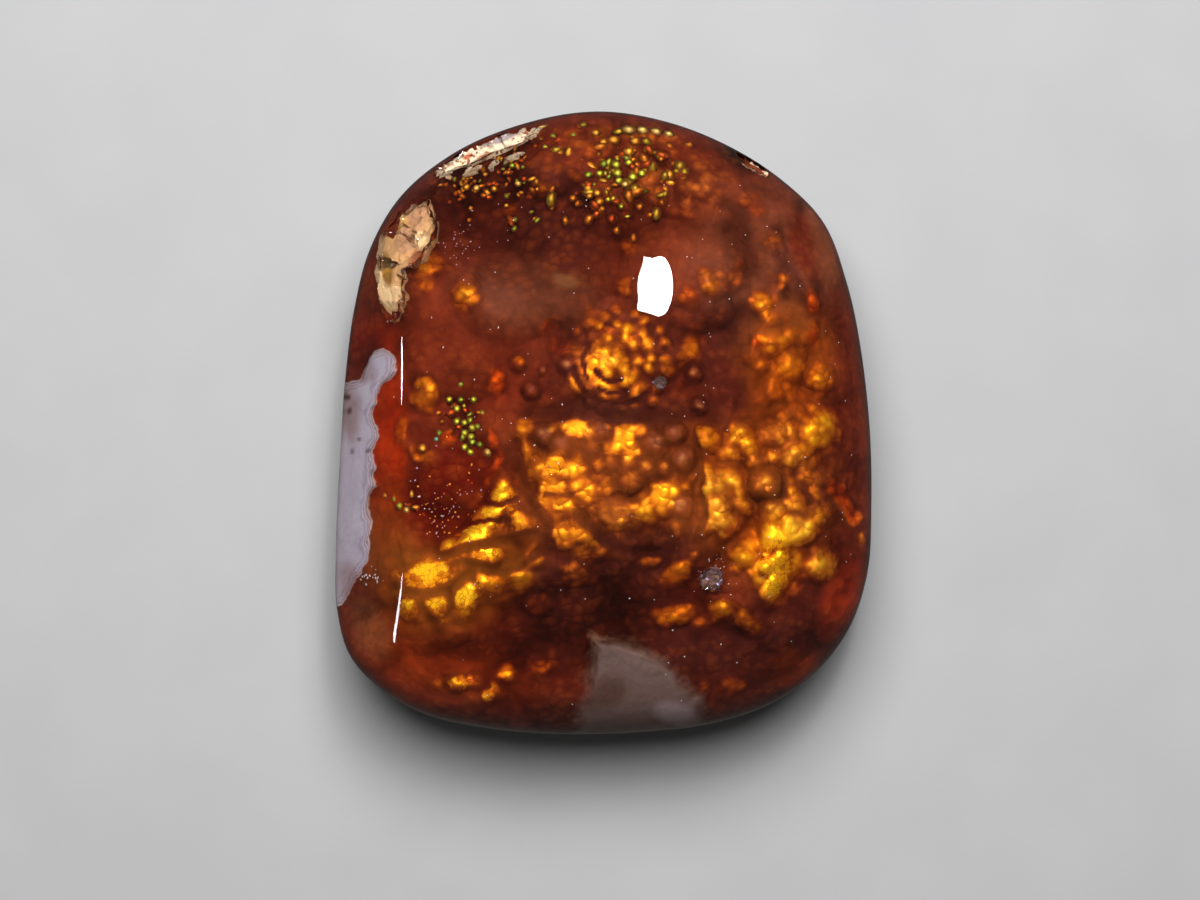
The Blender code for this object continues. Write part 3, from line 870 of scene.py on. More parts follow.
BUBBLES = (
    # The lower left folds: their bodies, then the bright caps that lie on them, which are painted highlights.
    Bubble(-6.88, -6.05, 0.72, 1.08, Cast.OLIVE, 0.1, 1.6, 8),
    Bubble(-7.63, -7.3, 0.55, 1.08, Cast.OLIVE, 0.1),
    Bubble(-6.53, -7.2, 0.62, 1.2, Cast.OLIVE, 0.1), Bubble(-5.38, -6.9, 0.6, 1.2, Cast.OLIVE, 0.1),
    Bubble(-4.28, -6.35, 0.62, 1.08, Cast.OLIVE, 0.1, 1.4, -15),
    Bubble(-4.38, -5.2, 0.6, 1.08, Cast.OLIVE, 0.1, 1.7, 5),
    Bubble(-3.18, -6.3, 0.6, 1.08, lift=0.05, stretch=1.2, turn=50),
    Bubble(-2.68, -5.3, 0.55, 0.955, lift=0.05),
    Bubble(-3.88, -3, 0.6, 1.33, lift=0.1, stretch=1.2, turn=40),
    Bubble(-3.18, -4.1, 0.55, 1.08, lift=0.05, stretch=1.2, turn=50),
    Bubble(-4.48, -3.8, 0.7, 1.33, lift=0.1, stretch=1.5, turn=35),
    Bubble(-4.98, -4.5, 0.6, 1.33, lift=0.1, stretch=1.6, turn=25),
    Bubble(-6.13, -4.85, 0.4, 1.33, lift=0.1, stretch=1.3, turn=35),
    Bubble(-6.98, -5.85, 0.53, 1.48, Cast.LEMON, HIGHLIGHT_CAP), Bubble(-6.28, -5.75, 0.42, 1.35, Cast.LEMON, HIGHLIGHT_CAP, 1.2),
    Bubble(-7.63, -7.15, 0.41, 1.35, Cast.LEMON, HIGHLIGHT_CAP),
    Bubble(-6.53, -7.05, 0.44, 1.48, Cast.LEMON, HIGHLIGHT_CAP, 1.15, 10),
    Bubble(-5.4, -6.7, 0.44, 1.48, Cast.LEMON, HIGHLIGHT_CAP, 1.3, 40),
    Bubble(-4.58, -6.1, 0.26, 1.35, Cast.LEMON, HIGHLIGHT_CAP, 2.6, 5),
    Bubble(-4.43, -5.1, 0.31, 1.35, Cast.LEMON, HIGHLIGHT_CAP, 2.4, 10),
    Bubble(-6.13, -4.8, 0.27, 1.35, lift=HIGHLIGHT_CAP, stretch=1.4, turn=35),
    Bubble(-3.98, -2.85, 0.38, 1.48, Cast.LEMON, HIGHLIGHT_CAP, 1.3, 40),
    Bubble(-3.38, -2.4, 0.24, 1.35, Cast.RED, HIGHLIGHT_CAP),
    Bubble(-4.28, -3.45, 0.32, 1.48, Cast.LEMON, HIGHLIGHT_CAP, 1.7, 25),
    Bubble(-3.53, -3.5, 0.38, 1.35, Cast.LEMON, HIGHLIGHT_CAP, 1.3, 60),
    Bubble(-4.83, -4.3, 0.36, 1.48, Cast.LEMON, HIGHLIGHT_CAP, 1.6, 25),
    Bubble(-4.08, -4.1, 0.31, 1.48, Cast.LEMON, HIGHLIGHT_CAP, 1.7, 30),
    Bubble(-5.8, -8.3, 0.5, 0.4, stretch=1.5), Bubble(-2.6, -7.2, 0.6, 0.35), Bubble(-8.4, -5.6, 0.4, 0.5),
    Bubble(-5.7, -10.3, 0.4, 1.3, lift=0.15, stretch=1.4), Bubble(-3.85, -9.9, 0.5, 1.5, Cast.LEMON, 0.2),
    Bubble(-4.6, -10.85, 0.4, 1.2), Bubble(-4.3, -10.4, 0.35, 1.2), Bubble(-2.4, -9.75, 0.32, 0.6),
    # The middle band.
    Bubble(-2.95, -0.3, 0.5, 0.85), Bubble(-2.95, -1.2, 0.45, 0.8), Bubble(-2.6, -1.8, 0.45, 0.8),
    Bubble(-1.2, -0.3, 0.6, 1.0),
    Bubble(-1.8, -1.6, 0.6, 0.9), Bubble(-1.75, -3.05, 0.5, 0.9, stretch=1.6, turn=5),
    Bubble(-1.9, -2.45, 0.4, 0.85, stretch=1.6),
    Bubble(-0.6, -4.4, 0.6, 0.9), Bubble(-1.5, -4.6, 0.6, 0.8), Bubble(-1.0, -5.1, 0.5, 0.75),
    Bubble(-1.1, -5.9, 0.6, 0.5),
    Bubble(-1.95, -0.25, 0.36, 0.85), Bubble(-0.6, -0.55, 0.4, 0.85, Cast.MOSS),
    Bubble(0.15, -0.15, 0.3, 0.8), Bubble(1.5, -0.35, 0.42, 0.85),
    Bubble(-0.2, -1.7, 0.4, 0.8), Bubble(0.9, -1.6, 0.4, 0.85, Cast.MOSS), Bubble(2.6, -1.2, 0.35, 0.75),
    Bubble(-0.9, -2.4, 0.5, 0.8), Bubble(0.2, -2.6, 0.55, 0.8),
    Bubble(0.75, -0.5, 0.6, 1.0, lift=0.15), Bubble(0.3, -1.0, 0.5, 0.95, lift=0.12),
    Bubble(1.2, -1.1, 0.4, 0.9),
    Bubble(2.4, -3.0, 0.8, 1.1, lift=0.15), Bubble(1.6, -3.4, 0.6, 0.8),
    Bubble(0.5, -3.5, 0.8, 0.6, Cast.MOSS),
    Bubble(-2.3, -0.52, 0.42, 0.53, Cast.ROSE, 0.4), Bubble(-1.6, -0.9, 0.38, 0.53, Cast.ROSE, 0.4),
    Bubble(-0.14, -0.34, 0.34, 0.4, Cast.ROSE, 0.35), Bubble(2.03, -0.85, 0.5, 0.53, Cast.ROSE, 0.4),
    Bubble(2.75, -0.47, 0.4, 0.45, Cast.ROSE, 0.35), Bubble(3.05, -1.47, 0.48, 0.53, Cast.ROSE, 0.4),
    Bubble(3.0, -3.33, 0.42, 0.53, Cast.ROSE, 0.4), Bubble(1.03, -2.3, 0.46, 0.7, Cast.MOSS, 0.4),
    Bubble(0.3, -1.6, 0.34, 0.62, Cast.MOSS, 0.3), Bubble(-0.46, -0.95, 0.34, 0.62, Cast.MOSS, 0.3),
    Bubble(2.3, -1.84, 0.36, 0.7, Cast.MOSS, 0.3), Bubble(1.6, -1.8, 0.36, 0.7, Cast.MOSS, 0.3),
    Bubble(4.0, -0.7, 0.6, 0.9, lift=0.15),
    # The right cluster.
    Bubble(6.25, -2.4, 0.6, 0.95, Cast.MOSS, 0.45), Bubble(8.5, -0.25, 0.8, 1.0, lift=0.2),
    Bubble(5.3, -0.35, 0.42, 0.7, Cast.MOSS),
    Bubble(6.8, -0.4, 0.5, 0.8, Cast.MOSS), Bubble(5.9, -1.55, 0.4, 0.8, Cast.MOSS),
    Bubble(7.3, -1.4, 0.5, 0.8, Cast.MOSS),
    Bubble(4.3, -2.3, 0.6, 0.9, Cast.MOSS), Bubble(4.5, -3.3, 0.65, 0.8, Cast.MOSS),
    Bubble(4.8, -4.05, 0.5, 0.85, Cast.MOSS, 0.2),
    Bubble(6.5, -3.45, 0.5, 0.8, Cast.MOSS, 0.2), Bubble(7.55, -4.3, 0.62, 0.95, Cast.MOSS, 0.2),
    Bubble(8.3, -3.7, 0.5, 0.6, lift=0.2),
    Bubble(6.5, -4.6, 0.5, 1.0, lift=0.2), Bubble(6.9, -5.3, 0.5, 1.0, Cast.LEMON, 0.2),
    Bubble(6.4, -5.6, 0.4, 0.9, lift=0.2),
    Bubble(6.8, -6.2, 0.45, 1.0, lift=0.15), Bubble(5.5, -5.15, 0.5, 0.9, lift=0.2),
    Bubble(8.55, -5.55, 0.75, 1.0, Cast.MOSS, 0.2, 1.15, 50),
    Bubble(8.4, 1.65, 0.5, 0.85, lift=0.2), Bubble(6.7, 3.1, 0.7, 0.75), Bubble(7.3, 2.2, 0.75, 0.7),
    # Above the dark step.
    Bubble(5.6, 8.75, 0.42, 0.45), Bubble(6.7, 7.15, 0.42, 0.4), Bubble(4.1, 5.4, 0.55, 0.5),
    Bubble(6.2, 4.6, 0.6, 0.75),
    Bubble(0.85, 6.95, 0.38, 0.4), Bubble(0.8, 5.2, 0.34, 0.5), Bubble(-6.8, 6.2, 0.58, 0.6),
    Bubble(-5.4, 4.9, 0.55, 0.6, stretch=1.2, turn=60),
    Bubble(-1.45, 2.15, 0.3, 0.62, Cast.ROSE, 0.3), Bubble(-2.35, 2.0, 0.2, 0.5, Cast.ROSE, 0.2),
    Bubble(-2.85, 1.2, 0.34, 0.5, Cast.ROSE, 0.3), Bubble(3.5, 1.85, 0.3, 0.62, Cast.ROSE, 0.3),
    Bubble(3.7, 0.6, 0.3, 0.69, Cast.ROSE, 0.3), Bubble(-3.3, 2.3, 0.34, 0.7, Cast.OLIVE, 0.25),
    Bubble(-4.15, 1.5, 0.4, 0.75, Cast.RED, 0.1, 1.4, 80),
    Bubble(3.35, 2.9, 0.36, 0.9, lift=0.2, stretch=1.8, turn=88),
    # The left strip and the lower right.
    Bubble(-6.9, 1.05, 0.6, 0.75), Bubble(-7.9, -0.4, 0.36, 0.55, Cast.OLIVE, 0.1, 1.5, 90),
    Bubble(1.85, -5.45, 0.34, 0.7, stretch=1.4), Bubble(2.9, -5.85, 0.42, 0.95, Cast.OLIVE, 0.2, 1.7, 35),
    Bubble(3.55, -5.2, 0.26, 0.6), Bubble(2.9, -7.5, 0.4, 0.9, lift=0.15, stretch=1.9),
    Bubble(4.5, -7.35, 0.38, 0.85, lift=0.15, stretch=1.5, turn=-5),
    Bubble(5.5, -7.8, 0.36, 0.8, lift=0.15, stretch=1.4, turn=-30),
    Bubble(5.1, -10.35, 0.42, 0.6, Cast.OLIVE, stretch=1.4), Bubble(3.9, -10.45, 0.4, 0.4),
)


@dataclass(frozen=True)
class Bead:
    """A small ball under the skin, seen at (x, y), with its radius, depth, colour and flatness."""

    x: float
    y: float
    r: float
    tint: Colour
    depth: float = 0.7
    stretch: float = 1.0
    turn: float = 0.0


@dataclass(frozen=True)
class Strewn:
    """Beads strewn over an oval, of sizes, depths and colours drawn from ranges."""

    shape: Oval
    count: int
    sizes: tuple[float, float]
    tints: tuple[Colour, ...]
    depths: tuple[float, float] = (0.6, 0.95)
    most_stretch: float = 1.9

    def beads(self, draw: np.random.Generator) -> list[Bead]:
        """Draws the beads."""
        made: list[Bead] = []
        turn = math.radians(self.shape.turn)
        while len(made) < self.count:
            out, way = math.sqrt(draw.uniform()), draw.uniform(0.0, 2 * math.pi)
            along, across = self.shape.rx * out * math.cos(way), self.shape.ry * out * math.sin(way)
            x = self.shape.x + along * math.cos(turn) - across * math.sin(turn)
            y = self.shape.y + along * math.sin(turn) + across * math.cos(turn)
            tint = self.tints[int(draw.integers(len(self.tints)))]
            size, depth = draw.uniform(*self.sizes), draw.uniform(*self.depths)
            stretch, turn = draw.uniform(1.0, self.most_stretch), draw.uniform(0.0, 180.0)
            if float(FORM.polar(np.array([x]), np.array([y]))[0][0]) < 0.95:
                made.append(Bead(x, y, size, tint, depth, stretch, turn))
        return made


LEMON, GOLD, AMBER = (0.608, 0.452, 0.125), (0.577, 0.281, 0.0304), (0.374, 0.125, 0.0125)
LIME, LEAF, OLIVE = (0.398, 0.499, 0.0429), (0.156, 0.304, 0.0304), (0.257, 0.195, 0.0179)
TEAL, FROST, VIOLET = (0.0608, 0.374, 0.273), (0.452, 0.476, 0.515), (0.257, 0.218, 0.374)
EMBER = (0.335, 0.0484, 0.00936)

TOP_BEADS = (
    Bead(1.0, 11.6, 0.30, LEMON, 0.5), Bead(1.55, 11.6, 0.28, LEMON, 0.5), Bead(2.1, 11.55, 0.28, LEMON, 0.5),
    Bead(2.6, 11.45, 0.24, LEMON, 0.5), Bead(0.4, 11.15, 0.26, GOLD), Bead(0.0, 11.05, 0.20, GOLD),
    Bead(1.25, 11.1, 0.24, GOLD), Bead(1.7, 11.1, 0.22, OLIVE), Bead(1.0, 10.65, 0.26, GOLD),
    Bead(-0.8, 11.8, 0.20, OLIVE, 0.45), Bead(-0.3, 11.45, 0.20, GOLD, 0.5), Bead(0.5, 10.1, 0.20, LIME),
    Bead(0.0, 10.15, 0.18, LEAF), Bead(1.0, 10.2, 0.18, LIME), Bead(0.55, 9.75, 0.20, LIME, 0.5),
    Bead(0.6, 9.45, 0.18, LIME, 0.5), Bead(0.85, 9.3, 0.17, LEMON, 0.5), Bead(1.15, 9.6, 0.20, LIME, 0.5),
    Bead(1.5, 9.75, 0.19, LIME, 0.5), Bead(-0.6, 9.7, 0.17, LEAF), Bead(-0.15, 9.75, 0.16, LIME),
    Bead(-0.6, 9.15, 0.18, GOLD), Bead(-0.25, 8.95, 0.17, GOLD), Bead(-1.2, 8.75, 0.16, AMBER),
    Bead(-0.55, 8.85, 0.15, GOLD), Bead(3.0, 10.1, 0.26, OLIVE), Bead(3.2, 9.85, 0.22, OLIVE),
    Bead(4.15, 8.7, 0.26, OLIVE), Bead(4.7, 9.75, 0.26, GOLD), Bead(4.8, 9.45, 0.22, GOLD),
    Bead(4.3, 10.45, 0.24, AMBER), Bead(2.2, 10.5, 0.20, OLIVE), Bead(3.4, 11.0, 0.22, AMBER),
    Bead(-3.6, 10.1, 0.14, LEAF), Bead(-2.7, 10.15, 0.13, LEAF), Bead(-2.3, 10.85, 0.14, LIME),
    Bead(-2.0, 11.35, 0.13, LEAF), Bead(-1.2, 11.35, 0.14, LEAF), Bead(-1.2, 10.75, 0.13, LEAF),
    Bead(-0.5, 10.65, 0.14, OLIVE), Bead(-5.4, 9.25, 0.16, GOLD), Bead(-5.0, 9.2, 0.15, LEMON),
    Bead(-4.3, 9.15, 0.15, GOLD), Bead(-4.7, 8.9, 0.14, AMBER), Bead(-3.35, 9.35, 0.14, LEMON),
    Bead(-6.5, 10.05, 0.16, LIME, 0.35), Bead(-2.45, 11.75, 0.12, LEMON, 0.3, 2.2, 10),
)

LEFT_BEADS = (
    Bead(-5.55, 1.45, 0.14, LEAF), Bead(-6.0, 0.85, 0.15, LIME), Bead(-5.55, 0.85, 0.14, LEAF),
    Bead(-5.05, 0.85, 0.14, LIME), Bead(-5.7, 0.5, 0.16, LIME), Bead(-5.7, 0.0, 0.16, LIME),
    Bead(-5.4, -0.05, 0.15, LIME), Bead(-5.1, -0.25, 0.16, LIME), Bead(-5.4, -0.45, 0.17, LIME),
    Bead(-5.15, -0.6, 0.17, LIME), Bead(-5.1, -0.82, 0.16, LEAF), Bead(-5.4, -1.0, 0.17, LIME),
    Bead(-5.17, -1.2, 0.16, LIME), Bead(-4.5, -1.2, 0.19, LEMON), Bead(-4.65, -1.6, 0.13, FROST),
    Bead(-6.4, -0.45, 0.14, LEAF), Bead(-6.5, -0.7, 0.13, TEAL), Bead(-6.1, -0.6, 0.17, GOLD),
    Bead(-5.95, -0.85, 0.19, AMBER), Bead(-7.05, -1.05, 0.20, GOLD), Bead(-6.8, -1.4, 0.18, AMBER),
    Bead(-6.4, -1.25, 0.17, AMBER), Bead(-8.0, -3.3, 0.17, LIME), Bead(-7.7, -3.45, 0.15, LEMON),
    Bead(-8.6, -2.9, 0.13, GOLD), Bead(-4.9, -0.2, 0.14, LEAF), Bead(-4.8, -0.9, 0.15, LEAF),
)


ROSETTE = (
    Bubble(0.4, 2.28, 0.24, 1.0, Cast.MOSS, 0.2), *ring(0.4, 2.28, 0.48, 6, 0.25, 1.25),
    *ring(0.4, 2.3, 0.95, 11, 0.26, 1.25, 0.25, 10),
    *ring(0.5, 2.35, 1.42, 16, 0.26, 0.95, 0.4, 20), *ring(0.6, 2.35, 1.92, 20, 0.27, 0.6, 0.4, 45),
)


# ---------------------------------------------------------------- the fire layer


@dataclass(frozen=True)
class LayerFinish:
    """Rust and plum ground with metallic fire on its crowns, painted light on the lit sides of its domes,
    painted shade in its crevices, and pale chalcedony at the sides.
    """

    heats: tuple[tuple[float, Colour], ...] = (
        (0.0, (0.066, 0.0086, 0.0023)),
        (0.3, (0.17, 0.025, 0.003)),
        (0.55, (0.38, 0.088, 0.004)),
        (0.8, (0.70, 0.25, 0.007)),
        (1.0, (1.0, 0.60, 0.014)),
    )
    sheen: float = 0.6
    dome_highlight: Colour = (0.25, 0.055, 0.0055)
    dome_highlight_share: float = 0.5
    gain: float = 1.3
    growth_lines: tuple[tuple[float, Colour], ...] = (
        (0.0, (1.0, 0.85, 0.75)), (0.04, (1.1, 1.05, 1.0)), (0.09, (0.55, 0.45, 0.42)),
        (0.13, (1.1, 1.1, 1.1)), (0.18, (0.7, 0.6, 0.6)), (0.23, (1.08, 1.08, 1.08)),
        (0.30, (0.8, 0.74, 0.74)), (0.40, (1.0, 1.0, 1.0)),
    )

    def material(self) -> bpy.types.Material:
        """Builds the finish.

        Returns:
            The material.
        """
        maker = NodeMaker("fire_layers")
        where = maker.place()
        heat, lit, crown_light = maker.attribute("fire"), maker.attribute("lit"), maker.attribute("crown_light")
        crisp = maker.attribute("crisp")
        grain = maker.noise(where, 5.0, 4.0, Roughness=0.6)
        blotch = maker.noise(where, 0.8, 3.0, Roughness=0.55)
        swirl = maker.vector("MULTIPLY_ADD", maker.noise(where, 2.5, 2.0), (0.3,) * 3, where)
        # Small domes with painted light on their upper sides and painted shade in their crevices; the same
        # values also raise the bump.
        small = self._small_domes_lit_side(maker, swirl) * (1 - crisp) + crisp
        crackle = maker.cells(swirl, 5.0, "DISTANCE_TO_EDGE", "Distance").step(0.0, 0.06)
        cracks = 1 - (1 - crackle) * crisp * 0.3
        facets = 1 + (maker.cells(swirl, 5.0, "F1", "Color") - 0.7) * crisp * 0.65
        # The fire's brightness, with painted light on crowns and on the lit sides of domes, and painted shade
        # on the unlit sides in crisp areas.
        glint = heat * self.gain * (crown_light * 0.5 + 0.5) * (small * 0.4 + 0.6)
        glint = glint * (blotch * 0.6 + 0.7) * (grain * 0.25 + 0.87) * (1 - crisp * (1 - lit) * 0.5) * facets
        soft, sharp = glint * 1.2 / (glint + 0.8), glint * glint * 1.45 / (glint * glint + 0.8)
        warmth = (soft + (sharp - soft) * (crisp * 0.75 + 0.25)).at_most(1.0)
        flame = maker.add("ShaderNodeValToRGB", {"stops": self.heats}, {0: warmth * cracks}, 0)
        flame = maker.mix(1.0, flame, maker.attribute("cast", "Color"), "MULTIPLY")
        # Painted light and shade of the domes, times random blotches and grain, on the ground colour.
        shade = (lit * 1.3 + 0.28) * (small * 0.1 + 0.95) * (blotch * 1.1 + 0.5) * (grain * 0.2 + 0.9)
        ground = maker.mix(1.0, maker.attribute("ground", "Color"), maker.grey(shade), "MULTIPLY")
        # A painted highlight in a warm colour on the lit upper sides of small domes on the crowns.
        ground = maker.mix(lit * small * crown_light * self.dome_highlight_share, ground, self.dome_highlight)
        lit_ground = maker.mix(warmth.step(0.0, 0.8), ground, flame)
        pale, mask = self._chalcedony(maker, where)
        shine = warmth.step(0.15, 0.75) * (1 - mask)
        maker.shader.inputs["Specular IOR Level"].default_value = 0.0
        return maker.finish(
            Base_Color=maker.mix(mask, lit_ground, pale),
            Metallic=shine * (crisp * 0.1 + self.sheen),
            Roughness=0.5 - shine * (crisp * 0.06 + 0.12) + grain * 0.1,
            Normal=maker.bump(cracks * 0.35 + grain * (1 - crisp * 0.6) * 0.2 + small * 0.6, 0.12, 0.6),
        )

    @staticmethod
    def _small_domes_lit_side(maker: NodeMaker, where: Signal) -> Signal:
        """Small domes side by side, 1 on the upper side of each, towards the light, and 0 in the crevices
        under it: painted light and shade.
        """
        at = maker.vector("SCALE", where)
        at.socket.node.inputs["Scale"].default_value = 2.5
        middle = maker.cells(at, 1.0, "F1", "Position")
        lowered = maker.vector("ADD", at, (0.0, -0.2, 0.0))
        return 1 - maker.vector("DISTANCE", lowered, middle, output="Value").step(0.05, 0.85)

    def _chalcedony(self, maker: NodeMaker, where: Signal) -> tuple[Signal, Signal]:
        """Grey-lilac chalcedony, with fine growth lines along the edge of its band.

        Args:
            maker: the material's maker.
            where: coordinates in millimetres.

        Returns:
            Its colour, and its mask.
        """
        wobble = maker.noise(where, 1.6, 4.0, Roughness=0.6)
        band = maker.attribute("band") + (wobble - 0.5) * 0.25
        window = maker.attribute("window") + (wobble - 0.5) * 0.9
        mask = band.step(-0.04, 0.05).at_least(window.step(-0.35, 0.45) * 0.9)
        cloud = maker.noise(where, 0.8, 4.0)
        shade = cloud * 0.5 + 0.75
        colour = maker.mix(1.0, maker.attribute("chalcedony", "Color"), maker.grey(shade), "MULTIPLY")
        lines = maker.add("ShaderNodeValToRGB", {"stops": self.growth_lines}, {0: band}, 0)
        return maker.mix(1.0, colour, lines, "MULTIPLY"), mask


@dataclass
class FireLayer:
    """The lumpy layers that show through the skin. Lengths are in millimetres."""

    cells: int = 306
    plan_share: float = 0.985
    side_span: float = 0.13
    side_gap: float = 0.16
    least_depth: float = 0.10
    swell_pitch: float = 2.1
    swell_sizes: tuple[float, float] = (1.3, 2.2)
    fill_pitch: float = 0.62
    fill_sizes: tuple[float, float] = (0.32, 0.62)
    calm: float = 0.35
    fold_softness: float = 0.10
    fusing: float = 0.12
    crown_reach: float = 0.34
    wander: tuple[tuple[float, float], ...] = ((0.7, 0.26), (2.2, 0.10))
    dome_wander: float = 0.4
    moated_lift: float = 0.25
    base_level: float = -0.25
    full_heat: float = 0.4
    dome_roundness: float = 0.6
    swell_roundness: float = 0.28
    moat_span: float = 1.45
    moat_share: float = 0.9
    crease_depth: float = 0.15
    crease_fire_shade: float = 0.85
    crease_shade: float = 0.8
    seed: int = 11
    crisp_areas: tuple[Oval, ...] = (
        Oval(-4.4, -4.1, 1.6, 1.8, -30), Oval(-6.2, -6.5, 2.6, 1.6), Oval(6.7, -5.6, 0.7, 1.2),
        Oval(-4.8, -10.3, 1.8, 0.9),
    )
    finish: LayerFinish = field(default_factory=LayerFinish)

    def build(self) -> bpy.types.Object:
        """Builds and dresses the layer.

        Returns:
            The piece.
        """
        deselect_all()
        bpy.ops.mesh.primitive_grid_add(x_subdivisions=self.cells, y_subdivisions=self.cells, size=2.0)
        piece = named_new("fire_layer")
        square = points_of(piece) * MM
        u = square[:, 0] * np.sqrt(1 - square[:, 1] ** 2 / 2)
        v = square[:, 1] * np.sqrt(1 - square[:, 0] ** 2 / 2)
        out, angle = np.hypot(u, v) * (1 + self.side_span), np.arctan2(v, u)
        on_top = np.minimum(out, 1.0)
        reach = on_top * self.plan_share * FORM.girdle_radius(angle)
        x, y = FORM.axis[0] + reach * np.cos(angle), FORM.axis[1] + reach * np.sin(angle)

        rim = np.clip((1 - on_top) / 0.06, 0.0, 1.0)
        plan = x, y
        x, y = self._wandered(x, y)
        band, window = self._band(*plan), self._window(x, y)
        pale = np.maximum(np.clip(band / 0.3 + 0.5, 0.0, 1.0), np.clip(window / 0.6 + 0.5, 0.0, 1.0))
        heat, cast = self._heat(x, y)
        domes = (near + (far - near) * self.dome_wander for near, far in zip(plan, (x, y)))
        relief, lit, heat, cast = self._relief(*domes, heat, cast)
        depth = (self._depth(x, y) - relief) * (1 - pale) + self.least_depth * pale
        depth = np.maximum(depth, self.least_depth) * rim + self.side_gap * (1 - rim)
        points = FORM.sunk(*plan, depth)
        self._add_side(points, out, angle)
        put_points(piece, points)
        fill_open_rim(piece)
        put_attribute(piece, "lit", lit)
        put_attribute(piece, "fire", heat * (1 - pale) * np.clip((1 - out) / 0.05, 0.0, 1.0))
        put_attribute(piece, "cast", cast)
        put_attribute(piece, "crown_light", self._crown_light(relief))
        put_attribute(piece, "band", band)
        put_attribute(piece, "window", window)
        put_attribute(piece, "chalcedony", stained(x, y, Tint.LILAC, CHALCEDONY_STAINS))
        put_attribute(piece, "crisp", np.max([area.cover(x, y, 0.8) for area in self.crisp_areas], axis=0))
        put_attribute(piece, "ground", stained(x, y, Tint.MAHOGANY, STAINS))
        dress(piece, self.finish.material())
        return piece

    def _add_side(self, points: Array, out: Array, angle: Array) -> None:
        """Carries the layer on down inside the skin to just above the back.

        Args:
            points: the layer's points, changed in place.
            out: how far out each is, where over 1 is the side.
            angle: each one's direction from the axis.
        """
        side = out > 1.0
        down = (out[side] - 1.0) / self.side_span
        start = points[side, 2]
        height = start * (1 - down) + self.side_gap * down
        reach = FORM.side_share(height, angle[side]) * FORM.girdle_radius(angle[side]) - self.side_gap
        points[side, 0] = FORM.axis[0] + reach * np.cos(angle[side])
        points[side, 1] = FORM.axis[1] + reach * np.sin(angle[side])
        points[side, 2] = height

    def _scattered(self, pitch: float, sizes: tuple[float, float]) -> list[Bubble]:
        """Domes of these sizes on a jittered grid of this pitch."""
        draw = np.random.default_rng(self.seed)
        filled: list[Bubble] = []
        for x in np.arange(-11.0, 11.0, pitch):
            for y in np.arange(-12.6, 12.6, pitch):
                dx, dy, lift, turn = draw.uniform(-0.5, 0.5, 4)
                at = (x + dx * pitch, y + dy * pitch)
                size, heat = draw.uniform(*sizes), draw.uniform(0.28, 0.5)
                stretch = 1.2 + turn * 0.4
                rise, width = lift * 0.4 * size, size / stretch**0.5
                filled.append(Bubble(*at, width, heat, Cast.PLAIN, rise, stretch, turn * 360))
        return filled

    def _fused(self, bubbles: Iterable[Bubble], x: Array, y: Array, roundness: float) -> tuple[Array, Array]:
        """Domes, each fused a little with its neighbours.

        Args:
            bubbles: the domes.
            x: places in plan.
            y: places in plan.
            roundness: the domes' height as a share of their radius.

        Returns:
            Heights over the layer's mean surface, and the domes' painted light there, brightest on their
            sides towards +Y.
        """
        relief, lit = np.full(len(x), self.base_level), np.zeros(len(x))
        for bubble in bubbles:
            out = bubble.oval.distance(x, y)
            near = np.flatnonzero(out < 1.25)
            top = bubble.lift + roundness * bubble.r * (1 - out[near] ** 2)
            over = np.clip(0.5 + (top - relief[near]) / self.fusing, 0.0, 1.0)
            # shine is painted light from each dome's lit oval towards +Y.
            shine = min(2 * bubble.heat, 1.0) * bubble.lit.cover(x[near], y[near], 1.6)
            lit[near] += (shine - lit[near]) * over
            blend = np.maximum(self.fusing - np.abs(relief[near] - top), 0.0) / self.fusing
            relief[near] = np.maximum(relief[near], top) + blend**2 * self.fusing / 4
        return relief, lit

    def _relief(self, x: Array, y: Array, heat: Array, cast: Array) -> tuple[Array, Array, Array, Array]:
        """The layer's relief: soft swells, folds that calm down where there is no fire, and placed domes.

        Args:
            x: places in plan.
            y: places in plan.
            heat: the glows' heat there.
            cast: the glows' cast there.

        Returns:
            Heights over the layer's mean surface, the ground's painted light and shade, and the fire's heat
            and cast.
        """
        swells, broad = self._fused(
            self._scattered(self.swell_pitch, self.swell_sizes), x, y, self.swell_roundness
        )
        lumps, fine = self._fused(
            self._scattered(self.fill_pitch, self.fill_sizes), x, y, self.dome_roundness
        )
        awake = self.calm + (1 - self.calm) * np.clip(heat / self.full_heat, 0.0, 1.0)
        lumps = self._blurred(lumps, self.fold_softness) * awake
        placed, bodies = self._fused((*BUBBLES, *ROSETTE), x, y, self.dome_roundness)
        lines = np.max([crease.cover(x, y, 1.5) for crease in CREVICES], axis=0)
        creased = lines
        # Moats round raised bubbles: their relief is lowered, and painted shade lies round them.
        for bubble in (*BUBBLES, *ROSETTE):
            if bubble.lift >= self.moated_lift:
                width = bubble.r * self.moat_span
                moat = Oval(bubble.x, bubble.y, width, width).cover(x, y, 0.7)
                creased = np.maximum(creased, moat * self.moat_share)
        # The fire is made brighter on the lit sides of the domes, a painted highlight, and is taken out of
        # creases and moats, a painted shade.
        heat = heat * (0.75 + 0.45 * fine) * (0.9 + 0.2 * broad) * (1 - creased)
        for bubble in (*BUBBLES, *ROSETTE):
            # Each bubble's fire sits on its lit side towards +Y: a painted highlight.
            heat, cast = self._kindled(heat, cast, Glow(bubble.lit, bubble.heat, bubble.cast, 1.6), x, y)
        heat *= 1 - self.crease_fire_shade * lines
        over = np.clip(0.5 + (placed - lumps) / self.fusing, 0.0, 1.0)
        cold = 1 - np.clip(heat / self.full_heat, 0.2, 1.0)
